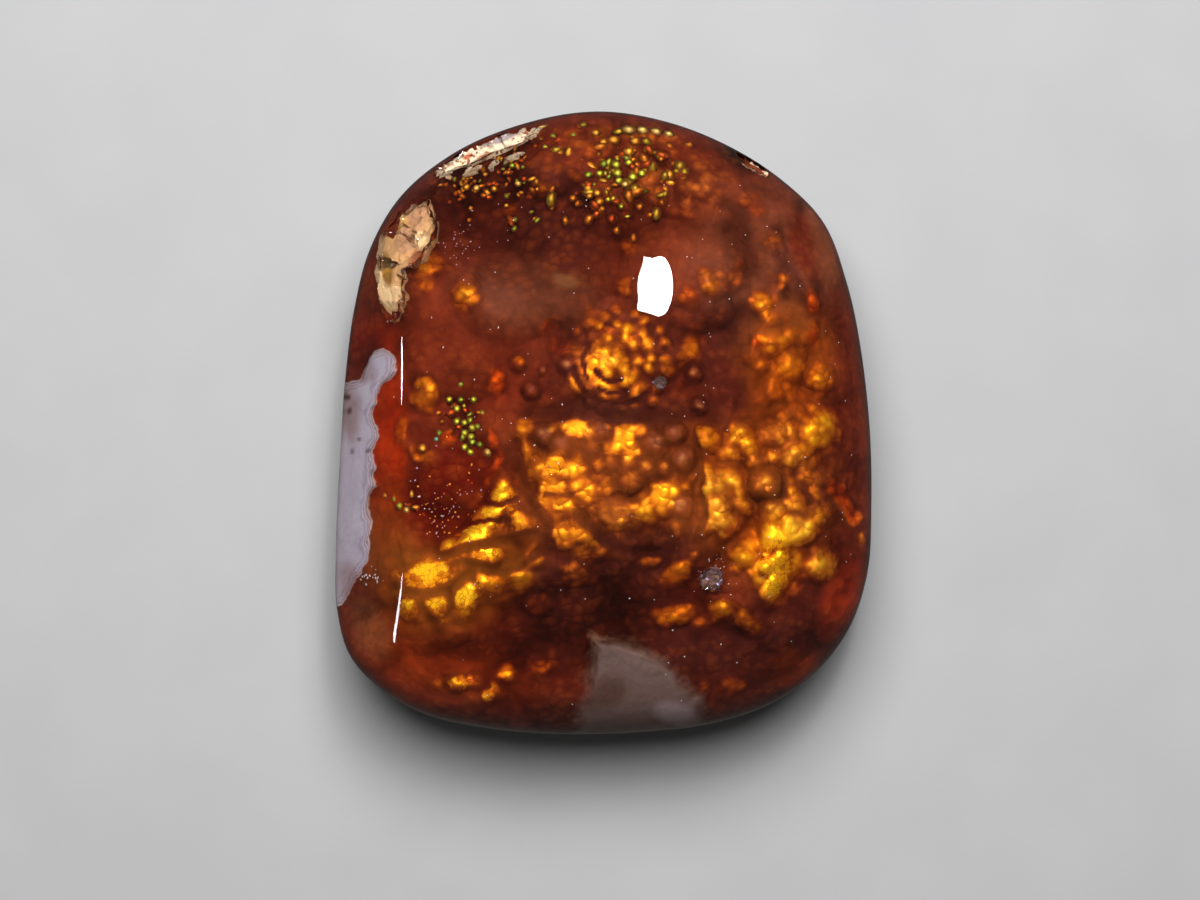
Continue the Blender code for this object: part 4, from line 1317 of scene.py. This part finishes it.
        # The ground's painted light from the domes, darkened in creases and moats as painted shade.
        lit = (fine + (0.6 - fine) * cold) * (1 - over) + bodies * over
        dented = np.maximum(lines, creased * (1 - over))
        lit *= 1 - self.crease_shade * dented
        blend = np.maximum(self.fusing - np.abs(lumps - placed), 0.0) / self.fusing
        relief = swells + np.maximum(lumps, placed) + blend**2 * self.fusing / 4
        relief -= dented * self.crease_depth
        return relief, (0.45 + 0.55 * broad) * (0.35 + 0.65 * lit), heat, cast

    def _blurred(self, values: Array, reach: float) -> Array:
        """Values on the layer's grid, each averaged with those around it."""
        side = self.cells + 1
        steps = np.arange(-14, 15) * 25.0 / self.cells / reach
        weights = np.exp(-(steps**2) / 2)
        weights /= weights.sum()
        grid = values.reshape(side, side)
        for axis in (0, 1):
            grid = np.apply_along_axis(np.convolve, axis, grid, weights, "same")
        return grid.ravel()

    def _crown_light(self, relief: Array) -> Array:
        """1 on crowns and 0 in crevices, from how a place stands to its surroundings: painted light on the
        crowns and painted shade in the crevices.
        """
        t = np.clip((relief - self._blurred(relief, self.crown_reach) + 0.10) / 0.20, 0.0, 1.0)
        return t * t * (3 - 2 * t)

    def _wandered(self, x: Array, y: Array) -> tuple[Array, Array]:
        """Places moved a little at random, which keeps what is laid out in plan from looking drawn.

        The offsets of the noise vector come from a generator that starts from the clock unless it is seeded.

        Args:
            x: places in plan.
            y: places in plan.

        Returns:
            Their new places.
        """
        noise.seed_set(self.seed)
        moved = np.stack([x, y], axis=1)
        for waves, reach in self.wander:
            spots = (Vector((a * waves, b * waves, 0.0)) for a, b in zip(x, y))
            moved += np.array([noise.noise_vector(spot)[:2] for spot in spots]) * reach
        return moved[:, 0], moved[:, 1]

    def _heat(self, x: Array, y: Array) -> tuple[Array, Array]:
        """The heat of the glows, and their cast, at each place."""
        heat, cast = np.zeros(len(x)), np.ones((len(x), 3))
        for glow in GLOWS:
            heat, cast = self._kindled(heat, cast, glow, x, y)
        return heat, cast

    @staticmethod
    def _kindled(heat: Array, cast: Array, glow: Glow, x: Array, y: Array) -> tuple[Array, Array]:
        """The fire's strength and cast once a glow is added."""
        cover = glow.shape.cover(x, y, glow.soft)
        hotter = heat + (np.maximum(heat, glow.heat) - heat) * cover
        share = (cover * np.clip(glow.heat / np.maximum(hotter, 1e-3), 0.0, 1.0))[:, None]
        return hotter, cast * (1 - share) + np.array(glow.cast.value) * share

    def _depth(self, x: Array, y: Array) -> Array:
        """How deep the layer lies, before its relief."""
        depth = np.full(len(x), USUAL_DEPTH)
        for oval, here in DEPTHS:
            cover = oval.cover(x, y, 1.0)
            depth = depth * (1 - cover) + here * cover
        return depth

    @staticmethod
    def _band(x: Array, y: Array) -> Array:
        """How far inside the pale band along the left side each place is, in millimetres."""
        heights = (-7.6, -7.1, -6.0, -5.5, -2.9, -2.5, 0.5, 1.3, 2.0, 2.6, 3.4)
        edges = (-10.9, -10.4, -9.6, -9.3, -9.2, -9.0, -9.0, -8.75, -8.05, -8.3, -9.0)
        wander = np.array([noise.fractal(Vector((a * 1.1, b * 1.1, 3.0)), 1.0, 2.0, 4) for a, b in zip(x, y)])
        beside = np.interp(y, heights, edges) - x
        below = np.interp(x, (-10.3, -9.6, -9.1, -8.6, -8.0), (1.5, 1.9, 2.8, 3.1, 2.9)) - y
        return np.minimum(np.minimum(beside, below), 1.5) * 0.85 + wander * 0.22

    @staticmethod
    def _window(x: Array, y: Array) -> Array:
        """How far inside the pale window at the bottom each place is, in millimetres."""
        corners = np.array(WINDOW)
        inside = np.full(len(x), np.inf)
        for a, b in zip(corners, np.roll(corners, -1, axis=0)):
            along = (b - a) / np.linalg.norm(b - a)
            inside = np.minimum(inside, (x - a[0]) * along[1] - (y - a[1]) * along[0])
        return inside


# ---------------------------------------------------------------- the clear skin


@dataclass(frozen=True)
class Hollow:
    """A rough hollow in the skin, at (x, y), with half sizes along it, across it and into the stone."""

    x: float
    y: float
    half: tuple[float, float, float]
    turn: float
    lean: float

    @property
    def frame(self) -> Matrix:
        """Its place on the dome, in metres, with Z out of the stone."""
        at = np.array([self.x]), np.array([self.y])
        upright = Vector((0.0, 0.0, 1.0))
        leaning = upright.lerp(Vector(FORM.normal(*at)[0]), self.lean).normalized()
        return (
            Matrix.Translation(Vector((self.x, self.y, float(FORM.top(*at)[0]))) * MM)
            @ upright.rotation_difference(leaning).to_matrix().to_4x4()
            @ Euler((0.0, 0.0, math.radians(self.turn))).to_matrix().to_4x4()
        )

    def blob(self, name: str, subdivisions: int, growth: float = 1.0) -> bpy.types.Object:
        """A lumpy blob of its form, half sunk in the dome.

        Args:
            name: the blob's name.
            subdivisions: how fine its mesh is.
            growth: how much larger than the hollow it is.

        Returns:
            The blob, with its place in its object.
        """
        deselect_all()
        bpy.ops.mesh.primitive_ico_sphere_add(subdivisions=subdivisions, radius=1.0)
        blob = named_new(name)
        for vert in blob.data.vertices:
            spot = vert.co * 2.6 + Vector((self.x, self.y, 0.0))
            vert.co *= 1.0 + 0.22 * noise.noise(spot) + 0.10 * noise.cell(spot * 1.7)
            vert.co = Vector(vert.co[i] * self.half[i] * growth * MM for i in range(3))
        blob.matrix_world = self.frame
        return blob


HOLLOWS = (
    Hollow(-7.85, 7.45, (1.5, 1.35, 0.95), 75.0, 0.5),
    Hollow(-8.45, 5.6, (1.6, 0.85, 0.8), 98.0, 0.5),
    Hollow(-4.7, 10.95, (2.2, 0.75, 0.6), 24.0, 0.5),
    Hollow(6.0, 10.3, (0.85, 0.55, 0.6), -38.0, 0.5),
    Hollow(2.2, 1.5, (0.26, 0.24, 0.16), 20.0, 1.0),
    Hollow(-2.0, -1.75, (0.34, 0.26, 0.2), -35.0, 1.0),
    Hollow(4.2, -6.15, (0.5, 0.42, 0.28), 40.0, 1.0),
)


@dataclass
class ClearSkin:
    """The polished body of clear amber chalcedony."""

    segments: int = 256
    rings: int = 160
    take_up: Colour = (20.0, 180.0, 400.0)

    def build(self) -> bpy.types.Object:
        """Builds, cuts and dresses the skin, which stands for the CAD solid.

        Returns:
            The piece.
        """
        deselect_all()
        bpy.ops.mesh.primitive_uv_sphere_add(segments=self.segments, ring_count=self.rings, radius=1.0)
        piece = named_new("clear_skin")
        unit = points_of(piece) * MM
        put_points(piece, self._shaped(unit / np.linalg.norm(unit, axis=1, keepdims=True)))
        for number, hollow in enumerate(HOLLOWS):
            cutter = hollow.blob(f"cutter_{number}", 4)
            apply_modifier(piece, "BOOLEAN", operation="DIFFERENCE", solver="EXACT", object=cutter)
            bpy.data.objects.remove(cutter)
        dress(piece, self._material(), 40.0)
        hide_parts(NODE)
        return piece

    @staticmethod
    def _shaped(unit: Array) -> Array:
        """A unit sphere's points moved onto the stone, with its equator at the girdle."""
        angle = np.arctan2(unit[:, 1], unit[:, 0])
        level, up = np.hypot(unit[:, 0], unit[:, 1]), unit[:, 2]
        square = np.where(up >= 0, FORM.squareness(angle), FORM.belly_squareness)
        share = level ** (2 / square)
        belly = FORM.ground(FORM.girdle_height - FORM.belly_depth * np.abs(up) ** (2 / square))
        height = np.where(up >= 0, FORM.crown_height(share, angle), belly)
        reach = share * FORM.girdle_radius(angle)
        return np.stack(
            [FORM.axis[0] + reach * np.cos(angle), FORM.axis[1] + reach * np.sin(angle), height], axis=1
        )

    def _material(self) -> bpy.types.Material:
        """Clear amber with a high polish."""
        maker = NodeMaker("clear_amber")
        density = max(self.take_up) * 1.25
        absorb = maker.tree.nodes.new("ShaderNodeVolumeAbsorption")
        absorb.inputs["Density"].default_value = density
        absorb.inputs["Color"].default_value = (*(1 - each / density for each in self.take_up), 1.0)
        output = maker.tree.nodes["Material Output"]
        maker.tree.links.new(absorb.outputs[0], output.inputs["Volume"])
        return maker.finish(
            Base_Color=(1.0, 1.0, 1.0), Roughness=0.0, IOR=REFRACTION, Specular_IOR_Level=0.2,
            Transmission_Weight=1.0,
        )


# ---------------------------------------------------------------- what fills the hollows


@dataclass(frozen=True)
class RockFinish:
    """Dull matrix or crust: its colour comes from the mesh, with grit and dark specks."""

    name: str
    grit: float = 0.05
    speck: Colour = (0.078, 0.023, 0.009)
    specks: float = 0.6
    roughness: float = 0.75

    def material(self) -> bpy.types.Material:
        """Builds the finish.

        Returns:
            The material.
        """
        maker = NodeMaker(self.name)
        where = maker.place()
        coarse = maker.noise(where, 2.2, 5.0, Roughness=0.65)
        fine = maker.noise(where, 9.0, 4.0, Roughness=0.7)
        shade = (coarse * 0.8 + 0.6) * (fine * 0.5 + 0.75)
        body = maker.mix(1.0, maker.attribute("tint", "Color"), maker.grey(shade), "MULTIPLY")
        spots = coarse.step(0.60, 0.68) * self.specks
        return maker.finish(
            Base_Color=maker.mix(spots, body, self.speck),
            Roughness=self.roughness - fine * 0.2,
            Normal=maker.bump(fine * 0.6 + coarse * 0.4, self.grit, 0.8),
        )


@dataclass
class Infill:
    """Rock or crust that lines hollows of the skin, with crystals on it. Lengths are in millimetres."""

    name: str
    hollows: tuple[Hollow, ...]
    finish: RockFinish
    base: Tint
    stains: tuple[Stain, ...] = ()
    tilt: float = 0.3
    recess: float = 0.25
    facet: float = 0.8
    facet_step: float = 0.25
    grain: float = 0.05
    voxel: float = 0.05
    crystals: int = 0
    crystal_size: tuple[float, float] = (0.06, 0.16)
    crystal_tints: tuple[Colour, ...] = (Tint.CREAM.value,)
    seed: int = 3

    def build(self) -> bpy.types.Object:
        """Builds and dresses the filling.

        Returns:
            The piece.
        """
        blobs = [hollow.blob(f"{self.name}_{i}", 4, 1.02) for i, hollow in enumerate(self.hollows)]
        for blob in blobs:
            set_place(blob)
        piece = join(blobs, self.name)
        apply_modifier(piece, "REMESH", mode="VOXEL", voxel_size=self.voxel * MM)
        put_points(piece, self._sunk_in(points_of(piece)))
        points = points_of(piece)
        put_attribute(piece, "tint", stained(points[:, 0], points[:, 1], self.base, self.stains))
        if self.crystals:
            piece = join([piece, *self._crystals(piece)], self.name)
        dress(piece, self.finish.material(), 25.0)
        return piece

    def _sunk_in(self, points: Array) -> Array:
        """Moves points inwards, so that a broken surface lies under where the polish would be.

        Args:
            points: places in millimetres, one row each.

        Returns:
            Their new places.
        """
        draw = np.random.default_rng(self.seed)
        x, y, z = points.T
        count = max(5, int(np.ptp(x) * np.ptp(y) / self.facet**2))
        seeds = np.stack(
            [draw.uniform(x.min(), x.max(), count), draw.uniform(y.min(), y.max(), count)], axis=1
        )
        slopes, drops = draw.normal(0.0, self.tilt, (count, 2)), draw.uniform(0.0, 1.0, count)
        away = points[:, None, :2] - seeds[None]
        nearest = np.argmin((away**2).sum(axis=2), axis=1)
        offset = away[np.arange(len(points)), nearest]
        facet = drops[nearest] * self.facet_step + (offset * slopes[nearest]).sum(axis=1)
        rough = np.array([noise.fractal(Vector(p) * 3.0, 0.6, 2.0, 4) for p in points]) * self.grain
        wanted = np.maximum(self.recess + np.clip(facet, -0.1, 2 * self.facet_step) + rough, 0.05)
        share, angle = FORM.polar(x, y)
        reach = np.minimum(share, 0.985) * FORM.girdle_radius(angle)
        moved = np.stack(
            [FORM.axis[0] + reach * np.cos(angle), FORM.axis[1] + reach * np.sin(angle), z], axis=1
        )
        for _ in range(3):
            normal = FORM.normal(moved[:, 0], moved[:, 1])
            under = (FORM.top(moved[:, 0], moved[:, 1]) - moved[:, 2]) * normal[:, 2]
            moved -= normal * np.maximum(wanted - under, 0.0)[:, None]
        return moved

    def _crystals(self, bed: bpy.types.Object) -> list[bpy.types.Object]:
        """Small pointed crystals that stand on the bed's upper faces."""
        draw = np.random.default_rng(self.seed + 1)
        faces = [face for face in bed.data.polygons if face.normal.z > 0.3]
        deselect_all()
        bpy.ops.mesh.primitive_cylinder_add(vertices=6, radius=0.5, depth=1.0)
        model = named_new(f"{self.name}_crystal")
        deselect_all()
        model.select_set(True)
        bpy.ops.object.mode_set(mode="EDIT")
        bpy.ops.mesh.select_mode(type="FACE")
        bpy.ops.mesh.select_all(action="DESELECT")
        shape = bmesh.from_edit_mesh(model.data)
        top = max(shape.faces, key=lambda face: face.calc_center_median().z)
        top.select_set(True)
        bpy.ops.mesh.extrude_region_move(TRANSFORM_OT_translate={"value": (0.0, 0.0, 0.45)})
        bpy.ops.transform.resize(value=(0.12, 0.12, 1.0))
        bpy.ops.object.mode_set(mode="OBJECT")
        copies = []
        for number in range(self.crystals):
            face = faces[int(draw.integers(len(faces)))]
            width = draw.uniform(*self.crystal_size)
            lean = Vector(draw.normal(0.0, 0.35, 3)) + face.normal
            crystal = bpy.data.objects.new(f"{self.name}_{number}", model.data.copy())
            crystal.data.transform(
                Matrix.Translation(face.center)
                @ lean.to_track_quat("Z", "Y").to_matrix().to_4x4()
                @ Matrix.Diagonal((width * MM, width * MM, width * draw.uniform(0.8, 1.5) * MM, 1.0))
            )
            tint = np.array(self.crystal_tints[int(draw.integers(len(self.crystal_tints)))])
            put_attribute(crystal, "tint", np.tile(tint, (len(crystal.data.vertices), 1)))
            bpy.context.scene.collection.objects.link(crystal)
            copies.append(crystal)
        bpy.data.objects.remove(model)
        return copies


# ---------------------------------------------------------------- beads and sparks


@dataclass(frozen=True)
class BeadFinish:
    """Small metallic beads, whose colour comes from the mesh, with a painted highlight towards the light and
    painted shade towards their edges.
    """

    name: str
    metal: float = 0.6
    roughness: float = 0.35
    edge: float = 0.06
    # The colour of the painted shade at the beads' edges; edge is how much of the bead's own colour is left
    # there.
    rim: Colour = (0.10, 0.027, 0.0047)

    def material(self) -> bpy.types.Material:
        """Builds the finish.

        Returns:
            The material.
        """
        maker = NodeMaker(self.name)
        grain = maker.noise(maker.place(), 6.0, 3.0)
        shade = grain * 0.8 + 1.1
        maker.shader.inputs["Specular IOR Level"].default_value = 0.0
        return maker.finish(
            Base_Color=maker.mix(1.0, maker.attribute("tint", "Color"), maker.grey(shade), "MULTIPLY"),
            Metallic=self.metal,
            Roughness=self.roughness + grain * 0.1,
        )


@dataclass
class BeadField:
    """Many small balls just over the fire layer. Lengths are in millimetres."""

    name: str
    beads: tuple[Bead, ...]
    strewn: tuple[Strewn, ...]
    finish: BeadFinish
    detail: int = 2
    seed: int = 5
    brightest: tuple[float, float, float] = (0.0, 0.26, 0.966)

    def build(self) -> bpy.types.Object:
        """Builds and dresses the beads as one piece.

        Returns:
            The piece.
        """
        draw = np.random.default_rng(self.seed)
        beads = [*self.beads]
        for patch in self.strewn:
            beads += patch.beads(draw)
        x, y, depth = (np.array([getattr(bead, key) for bead in beads]) for key in ("x", "y", "depth"))
        places = FORM.sunk(x, y, depth)
        deselect_all()
        bpy.ops.mesh.primitive_ico_sphere_add(subdivisions=self.detail, radius=1.0)
        model = named_new(f"{self.name}_model")
        # A painted highlight on each bead's side towards the light, fading to painted shade in the rim colour
        # at its edges.
        facing_light = np.clip(points_of(model) * MM @ np.array(self.brightest), 0.0, 1.0)[:, None]
        painted_highlight = self.finish.edge + (1 - self.finish.edge) * facing_light**5
        copies = []
        for bead, place in zip(beads, places):
            copy = bpy.data.objects.new(self.name, model.data.copy())
            size = np.array([bead.stretch, 1.0, 1.0]) * bead.r * MM
            turned = Matrix.Rotation(math.radians(bead.turn), 4, "Z")
            moved = Matrix.Translation(Vector(place) * MM)
            copy.data.transform(moved @ turned @ Matrix.Diagonal((*size, 1.0)))
            put_attribute(copy, "tint", painted_highlight * np.array(bead.tint) + (1 - painted_highlight) * np.array(self.finish.rim))
            bpy.context.scene.collection.objects.link(copy)
            copies.append(copy)
        bpy.data.objects.remove(model)
        piece = join(copies, self.name)
        dress(piece, self.finish.material())
        return piece


# ---------------------------------------------------------------- the studio


@dataclass
class Studio:
    """A pale floor, soft lights, and a camera that looks straight down on the stone."""

    view_centre: tuple[float, float] = (-0.14, -1.1)
    view_width: float = 48.3
    camera_height: float = 155.0
    key_distance: float = 148.0
    sensor: float = 36.0

    def build(self) -> None:
        """Sets the stage."""
        self._floor()
        self._light("key", self._mirrored_from(2.2, 5.33), (13.0, 41.0), 0.065, True)
        self._light("key_edge", self._mirrored_from(1.86, 5.33), (6.0, 37.0), 0.033, True, "RECTANGLE")
        self._light("glint", self._mirrored_from(-8.1, -7.9), (76.0, 14.0), 0.05, True)
        self._light("streak", self._mirrored_from(-7.87, 2.1), (12.0, 5.0), 0.004, True)
        self._light("overhead", (0.0, 60.0, 140.0), (110.0, 110.0), 0.88, False)
        self._world()
        self._camera()

    def _mirrored_from(self, x: float, y: float) -> tuple[float, float, float]:
        """The place of a lamp whose reflection in the polish the camera sees at (x, y)."""
        at = np.array([x]), np.array([y])
        spot = np.array([x, y, float(FORM.top(*at)[0])])
        to_camera = np.array([*self.view_centre, self.camera_height]) - spot
        to_camera /= np.linalg.norm(to_camera)
        normal = FORM.normal(*at)[0]
        away = 2 * normal.dot(to_camera) * normal - to_camera
        return tuple(spot + away * self.key_distance)

    @staticmethod
    def _floor() -> None:
        """A pale, faintly mottled floor, which the polish doesn't mirror."""
        deselect_all()
        bpy.ops.mesh.primitive_plane_add(size=2.0, location=(0.0, 0.0, 0.0))
        floor = named_new("floor")
        maker = NodeMaker("pale_paper")
        mottle = maker.noise(maker.place(0.2), 1.0, 3.0)
        maker.finish(Base_Color=maker.mix(mottle, (0.16, 0.16, 0.164), (0.18, 0.18, 0.18)), Roughness=0.9)
        floor.data.materials.append(maker.material)
        floor.visible_glossy = False

    @staticmethod
    def _light(
        name: str, at: tuple[float, float, float], size: tuple[float, float], watts: float, mirrored: bool,
        shape: str = "ELLIPSE",
    ) -> None:
        """Adds a soft light that faces the stone.

        Args:
            name: its name.
            at: its place in millimetres.
            size: its width and height in millimetres.
            watts: its power.
            mirrored: whether the polish shows its reflection.
            shape: its outline.
        """
        lamp = bpy.data.lights.new(name, "AREA")
        lamp.shape = shape
        lamp.size, lamp.size_y = size[0] * MM, size[1] * MM
        lamp.energy = watts
        holder = bpy.data.objects.new(name, lamp)
        holder.location = Vector(at) * MM
        holder.rotation_euler = (-holder.location).to_track_quat("-Z", "Y").to_euler()
        holder.visible_glossy = mirrored
        bpy.context.scene.collection.objects.link(holder)

    @staticmethod
    def _world() -> None:
        """A dim, even, pale surround."""
        world = bpy.data.worlds.new("surround")
        world.use_nodes = True
        world.node_tree.nodes["Background"].inputs["Color"].default_value = (1.0, 0.94, 0.88, 1.0)
        world.node_tree.nodes["Background"].inputs["Strength"].default_value = 0.06
        bpy.context.scene.world = world

    def _camera(self) -> None:
        """A long lens straight above, with +Y up the frame."""
        lens = bpy.data.cameras.new("camera")
        camera = bpy.data.objects.new("camera", lens)
        camera.location = (
            self.view_centre[0] * MM,
            self.view_centre[1] * MM,
            self.camera_height * MM,
        )
        lens.sensor_width = self.sensor
        lens.lens = self.sensor * (self.camera_height - FORM.girdle_height) / self.view_width
        lens.clip_start = 0.001
        bpy.context.scene.collection.objects.link(camera)
        bpy.context.scene.camera = camera


def matrix_rock() -> Infill:
    """The tan and cream host rock in the vug on the left shoulder, also a little under the polish."""
    buried = (
        Hollow(-8.65, 7.45, (0.7, 0.5, 0.4), 80.0, 0.5), Hollow(-8.9, 6.3, (0.8, 0.3, 0.35), 95.0, 0.5),
        Hollow(-8.75, 5.2, (0.75, 0.32, 0.3), 110.0, 0.5), Hollow(-7.2, 7.0, (0.42, 0.28, 0.3), 70.0, 0.5),
    )
    return Infill(
        "matrix_rock", (*HOLLOWS[:2], *buried), RockFinish("matrix", specks=0.25, grit=0.03), Tint.FACET,
        (
            Stain(Oval(-8.2, 7.9, 0.4, 0.7, -20), Tint.GOLDEN, 0.9, 0.4),
            Stain(Oval(-7.8, 7.2, 0.45, 0.6, -20), Tint.FAWN, 0.9, 0.3),
            Stain(Oval(-7.4, 8.4, 0.5, 0.8, 10), Tint.FAWN, 0.8, 0.4),
            Stain(
                Stroke(-9.0, 7.7, 0.22, then=((-8.95, 6.8), (-9.1, 6.2), (-8.8, 5.4), (-8.5, 4.8))),
                Tint.BUFF, 1.0, 0.6,
            ),
            Stain(Oval(-7.15, 7.1, 0.3, 0.4, 10), Tint.BUFF, 1.0, 0.4),
            Stain(Oval(-8.0, 4.9, 0.7, 0.5), Tint.BUFF, 0.8, 0.5),
            Stain(Oval(-8.55, 6.05, 0.24, 0.65, 8), Tint.RECESS, 1.0, 0.5),
            Stain(Oval(-7.83, 5.91, 0.12, 0.12), Tint.UMBER, 1.0, 0.5),
            Stain(Oval(-8.72, 7.55, 0.14, 0.2), Tint.UMBER, 0.9, 0.7),
            Stain(Oval(-7.3, 6.2, 0.35, 0.6), Tint.BRICK, 0.8, 0.7),
        ),
        recess=0.14, facet=0.8, facet_step=0.3, tilt=0.6,
    )


def rim_druse() -> Infill:
    """The cream and red-brown crust along the upper left rim, with lace of it under the polish."""
    lace = (
        Hollow(-5.2, 10.0, (0.42, 0.15, 0.12), 32.0, 1.0), Hollow(-4.35, 10.2, (0.28, 0.14, 0.12), 55.0, 1.0),
        Hollow(-3.55, 10.5, (0.45, 0.14, 0.12), 22.0, 1.0), Hollow(-6.2, 9.8, (0.14, 0.1, 0.1), 0.0, 1.0),
        Hollow(-5.6, 10.35, (0.3, 0.12, 0.12), 10.0, 1.0), Hollow(-2.8, 11.5, (0.4, 0.1, 0.1), 48.0, 1.0),
    )
    return Infill(
        "rim_druse", (HOLLOWS[2], *lace),
        RockFinish("crust", specks=0.9, speck=(0.11, 0.023, 0.009)), Tint.CREAM,
        (
            Stain(Oval(-4.7, 10.5, 0.35, 0.14, 20), Tint.BRICK, 0.9, 0.6),
            Stain(Oval(-5.4, 10.55, 0.2, 0.1, 20), Tint.RUST, 0.9, 0.6),
            Stain(Oval(-3.6, 10.85, 0.3, 0.1, 20), Tint.BRICK, 0.8, 0.6),
            Stain(Oval(-6.3, 10.15, 0.25, 0.1, 40), Tint.BRICK, 0.8, 0.6),
            Stain(Oval(-4.1, 11.4, 0.8, 0.3, 20), Tint.GREY, 0.9, 0.5),
        ),
        recess=0.12, facet=0.35, facet_step=0.16, grain=0.12, voxel=0.035,
        crystals=120, crystal_size=(0.05, 0.12),
        crystal_tints=(Tint.CREAM.value, Tint.BRICK.value, Tint.AMBER.value),
    )


def chip_druse() -> Infill:
    """The small crystals in the chip on the upper right rim."""
    return Infill(
        "chip_druse", HOLLOWS[3:4], RockFinish("chip", specks=0.5, speck=(0.04, 0.016, 0.008)), Tint.TAN,
        (
            Stain(Oval(5.25, 10.75, 0.35, 0.25, -35), Tint.BLACK, 0.9, 0.6),
            Stain(Stroke(5.7, 10.6, 0.2, then=((6.1, 10.3), (6.45, 10.1))), Tint.CREAM, 1.0, 0.8),
            Stain(Oval(6.3, 10.45, 0.4, 0.12, -35), Tint.AMBER, 0.9, 0.6),
        ),
        recess=0.16, facet=0.35, facet_step=0.16, grain=0.05, voxel=0.03,
        crystals=24, crystal_size=(0.05, 0.11),
        crystal_tints=(Tint.CREAM.value, Tint.AMBER.value),
    )


def pit_druse() -> Infill:
    """The violet-white crystals in the small pits."""
    return Infill(
        "pit_druse", HOLLOWS[4:], RockFinish("pit", specks=0.8, speck=(0.04, 0.023, 0.05), roughness=0.5),
        Tint.UMBER, (), recess=0.14, facet=0.2, facet_step=0.10, grain=0.05, voxel=0.025,
        crystals=110, crystal_size=(0.03, 0.08),
        crystal_tints=(
            VIOLET, (0.06, 0.045, 0.1), (0.035, 0.02, 0.045), (0.05, 0.03, 0.05), (0.03, 0.012, 0.02),
            (0.03, 0.02, 0.04),
        ),
    )


def fire_beads() -> BeadField:
    """The gold and green beads along the top and over the crater."""
    return BeadField(
        "fire_beads", TOP_BEADS + LEFT_BEADS,
        (
            Strewn(
                Oval(1.2, 10.2, 3.8, 1.5, 0), 110, (0.09, 0.22), (GOLD, AMBER, OLIVE, OLIVE, AMBER, EMBER)
            ),
            Strewn(Oval(0.5, 9.5, 1.6, 0.9, 0), 50, (0.07, 0.15), (LIME, GOLD, LEAF, OLIVE)),
            Strewn(Oval(-3.2, 9.8, 2.8, 1.0, 10), 90, (0.05, 0.12), (AMBER, EMBER, GOLD, GOLD, EMBER, LEAF)),
            Strewn(Oval(-5.4, 9.3, 1.2, 0.5, 10), 30, (0.05, 0.11), (AMBER, EMBER, GOLD)),
            Strewn(Oval(-5.6, -0.2, 0.9, 1.4, 0), 34, (0.07, 0.13), (LEAF, EMBER, AMBER, LIME)),
            Strewn(Oval(-8.3, -4.9, 0.8, 0.9, 0), 26, (0.06, 0.11), (GOLD, AMBER)),
            Strewn(Oval(-7.8, -3.2, 0.8, 0.5, 0), 10, (0.07, 0.12), (GOLD, LIME, EMBER)),
        ),
        BeadFinish("bead_metal"),
    )


def sparks() -> BeadField:
    """Tiny crystal sparks in the crater and the plum ground, and specks of dust under the polish."""
    return BeadField(
        "sparks", (),
        (
            Strewn(
                Oval(-5.9, -2.8, 1.6, 2.0, -35), 90, (0.015, 0.04), (FROST, VIOLET, EMBER, GOLD), (0.5, 1.0)
            ),
            Strewn(
                Oval(-5.9, -3.6, 1.3, 1.0, -35), 90, (0.012, 0.035), (EMBER, VIOLET, GOLD, FROST), (0.5, 1.0)
            ),
            Strewn(Oval(-6.2, -1.8, 0.9, 0.9, 0), 50, (0.03, 0.07), (EMBER, AMBER, GOLD), (0.6, 1.0)),
            Strewn(Oval(4.5, -6.2, 1.1, 0.9, 0), 44, (0.010, 0.028), (VIOLET, FROST), (0.3, 0.7)),
            Strewn(Oval(7.2, -3.1, 0.5, 0.5, 0), 16, (0.015, 0.035), (VIOLET, FROST), (0.3, 0.6)),
            Strewn(Oval(-5.6, 6.9, 1.0, 0.6, 0), 30, (0.012, 0.03), (VIOLET,), (0.4, 1.0)),
            Strewn(Oval(-9.1, -6.2, 0.25, 0.7, 10), 18, (0.02, 0.06), (FROST,), (0.15, 0.25)),
            Strewn(Oval(0.4, -0.5, 10.0, 11.5, 0), 140, (0.014, 0.026), (FROST,), (0.03, 0.12)),
        ),
        BeadFinish("spark", 0.1, 0.5, 0.8), detail=1,
    )


def main() -> None:
    """Builds the dressed stone and the studio."""
    logging.basicConfig(level=logging.INFO, format="%(name)s: %(message)s")
    bpy.context.scene.view_settings.view_transform = "Standard"
    pieces = (
        ClearSkin(), FireLayer(), matrix_rock(), rim_druse(), chip_druse(), pit_druse(),
        fire_beads(), sparks(),
    )
    for maker in pieces:
        maker.build()
    Studio().build()


if __name__ == "__main__":
    main()
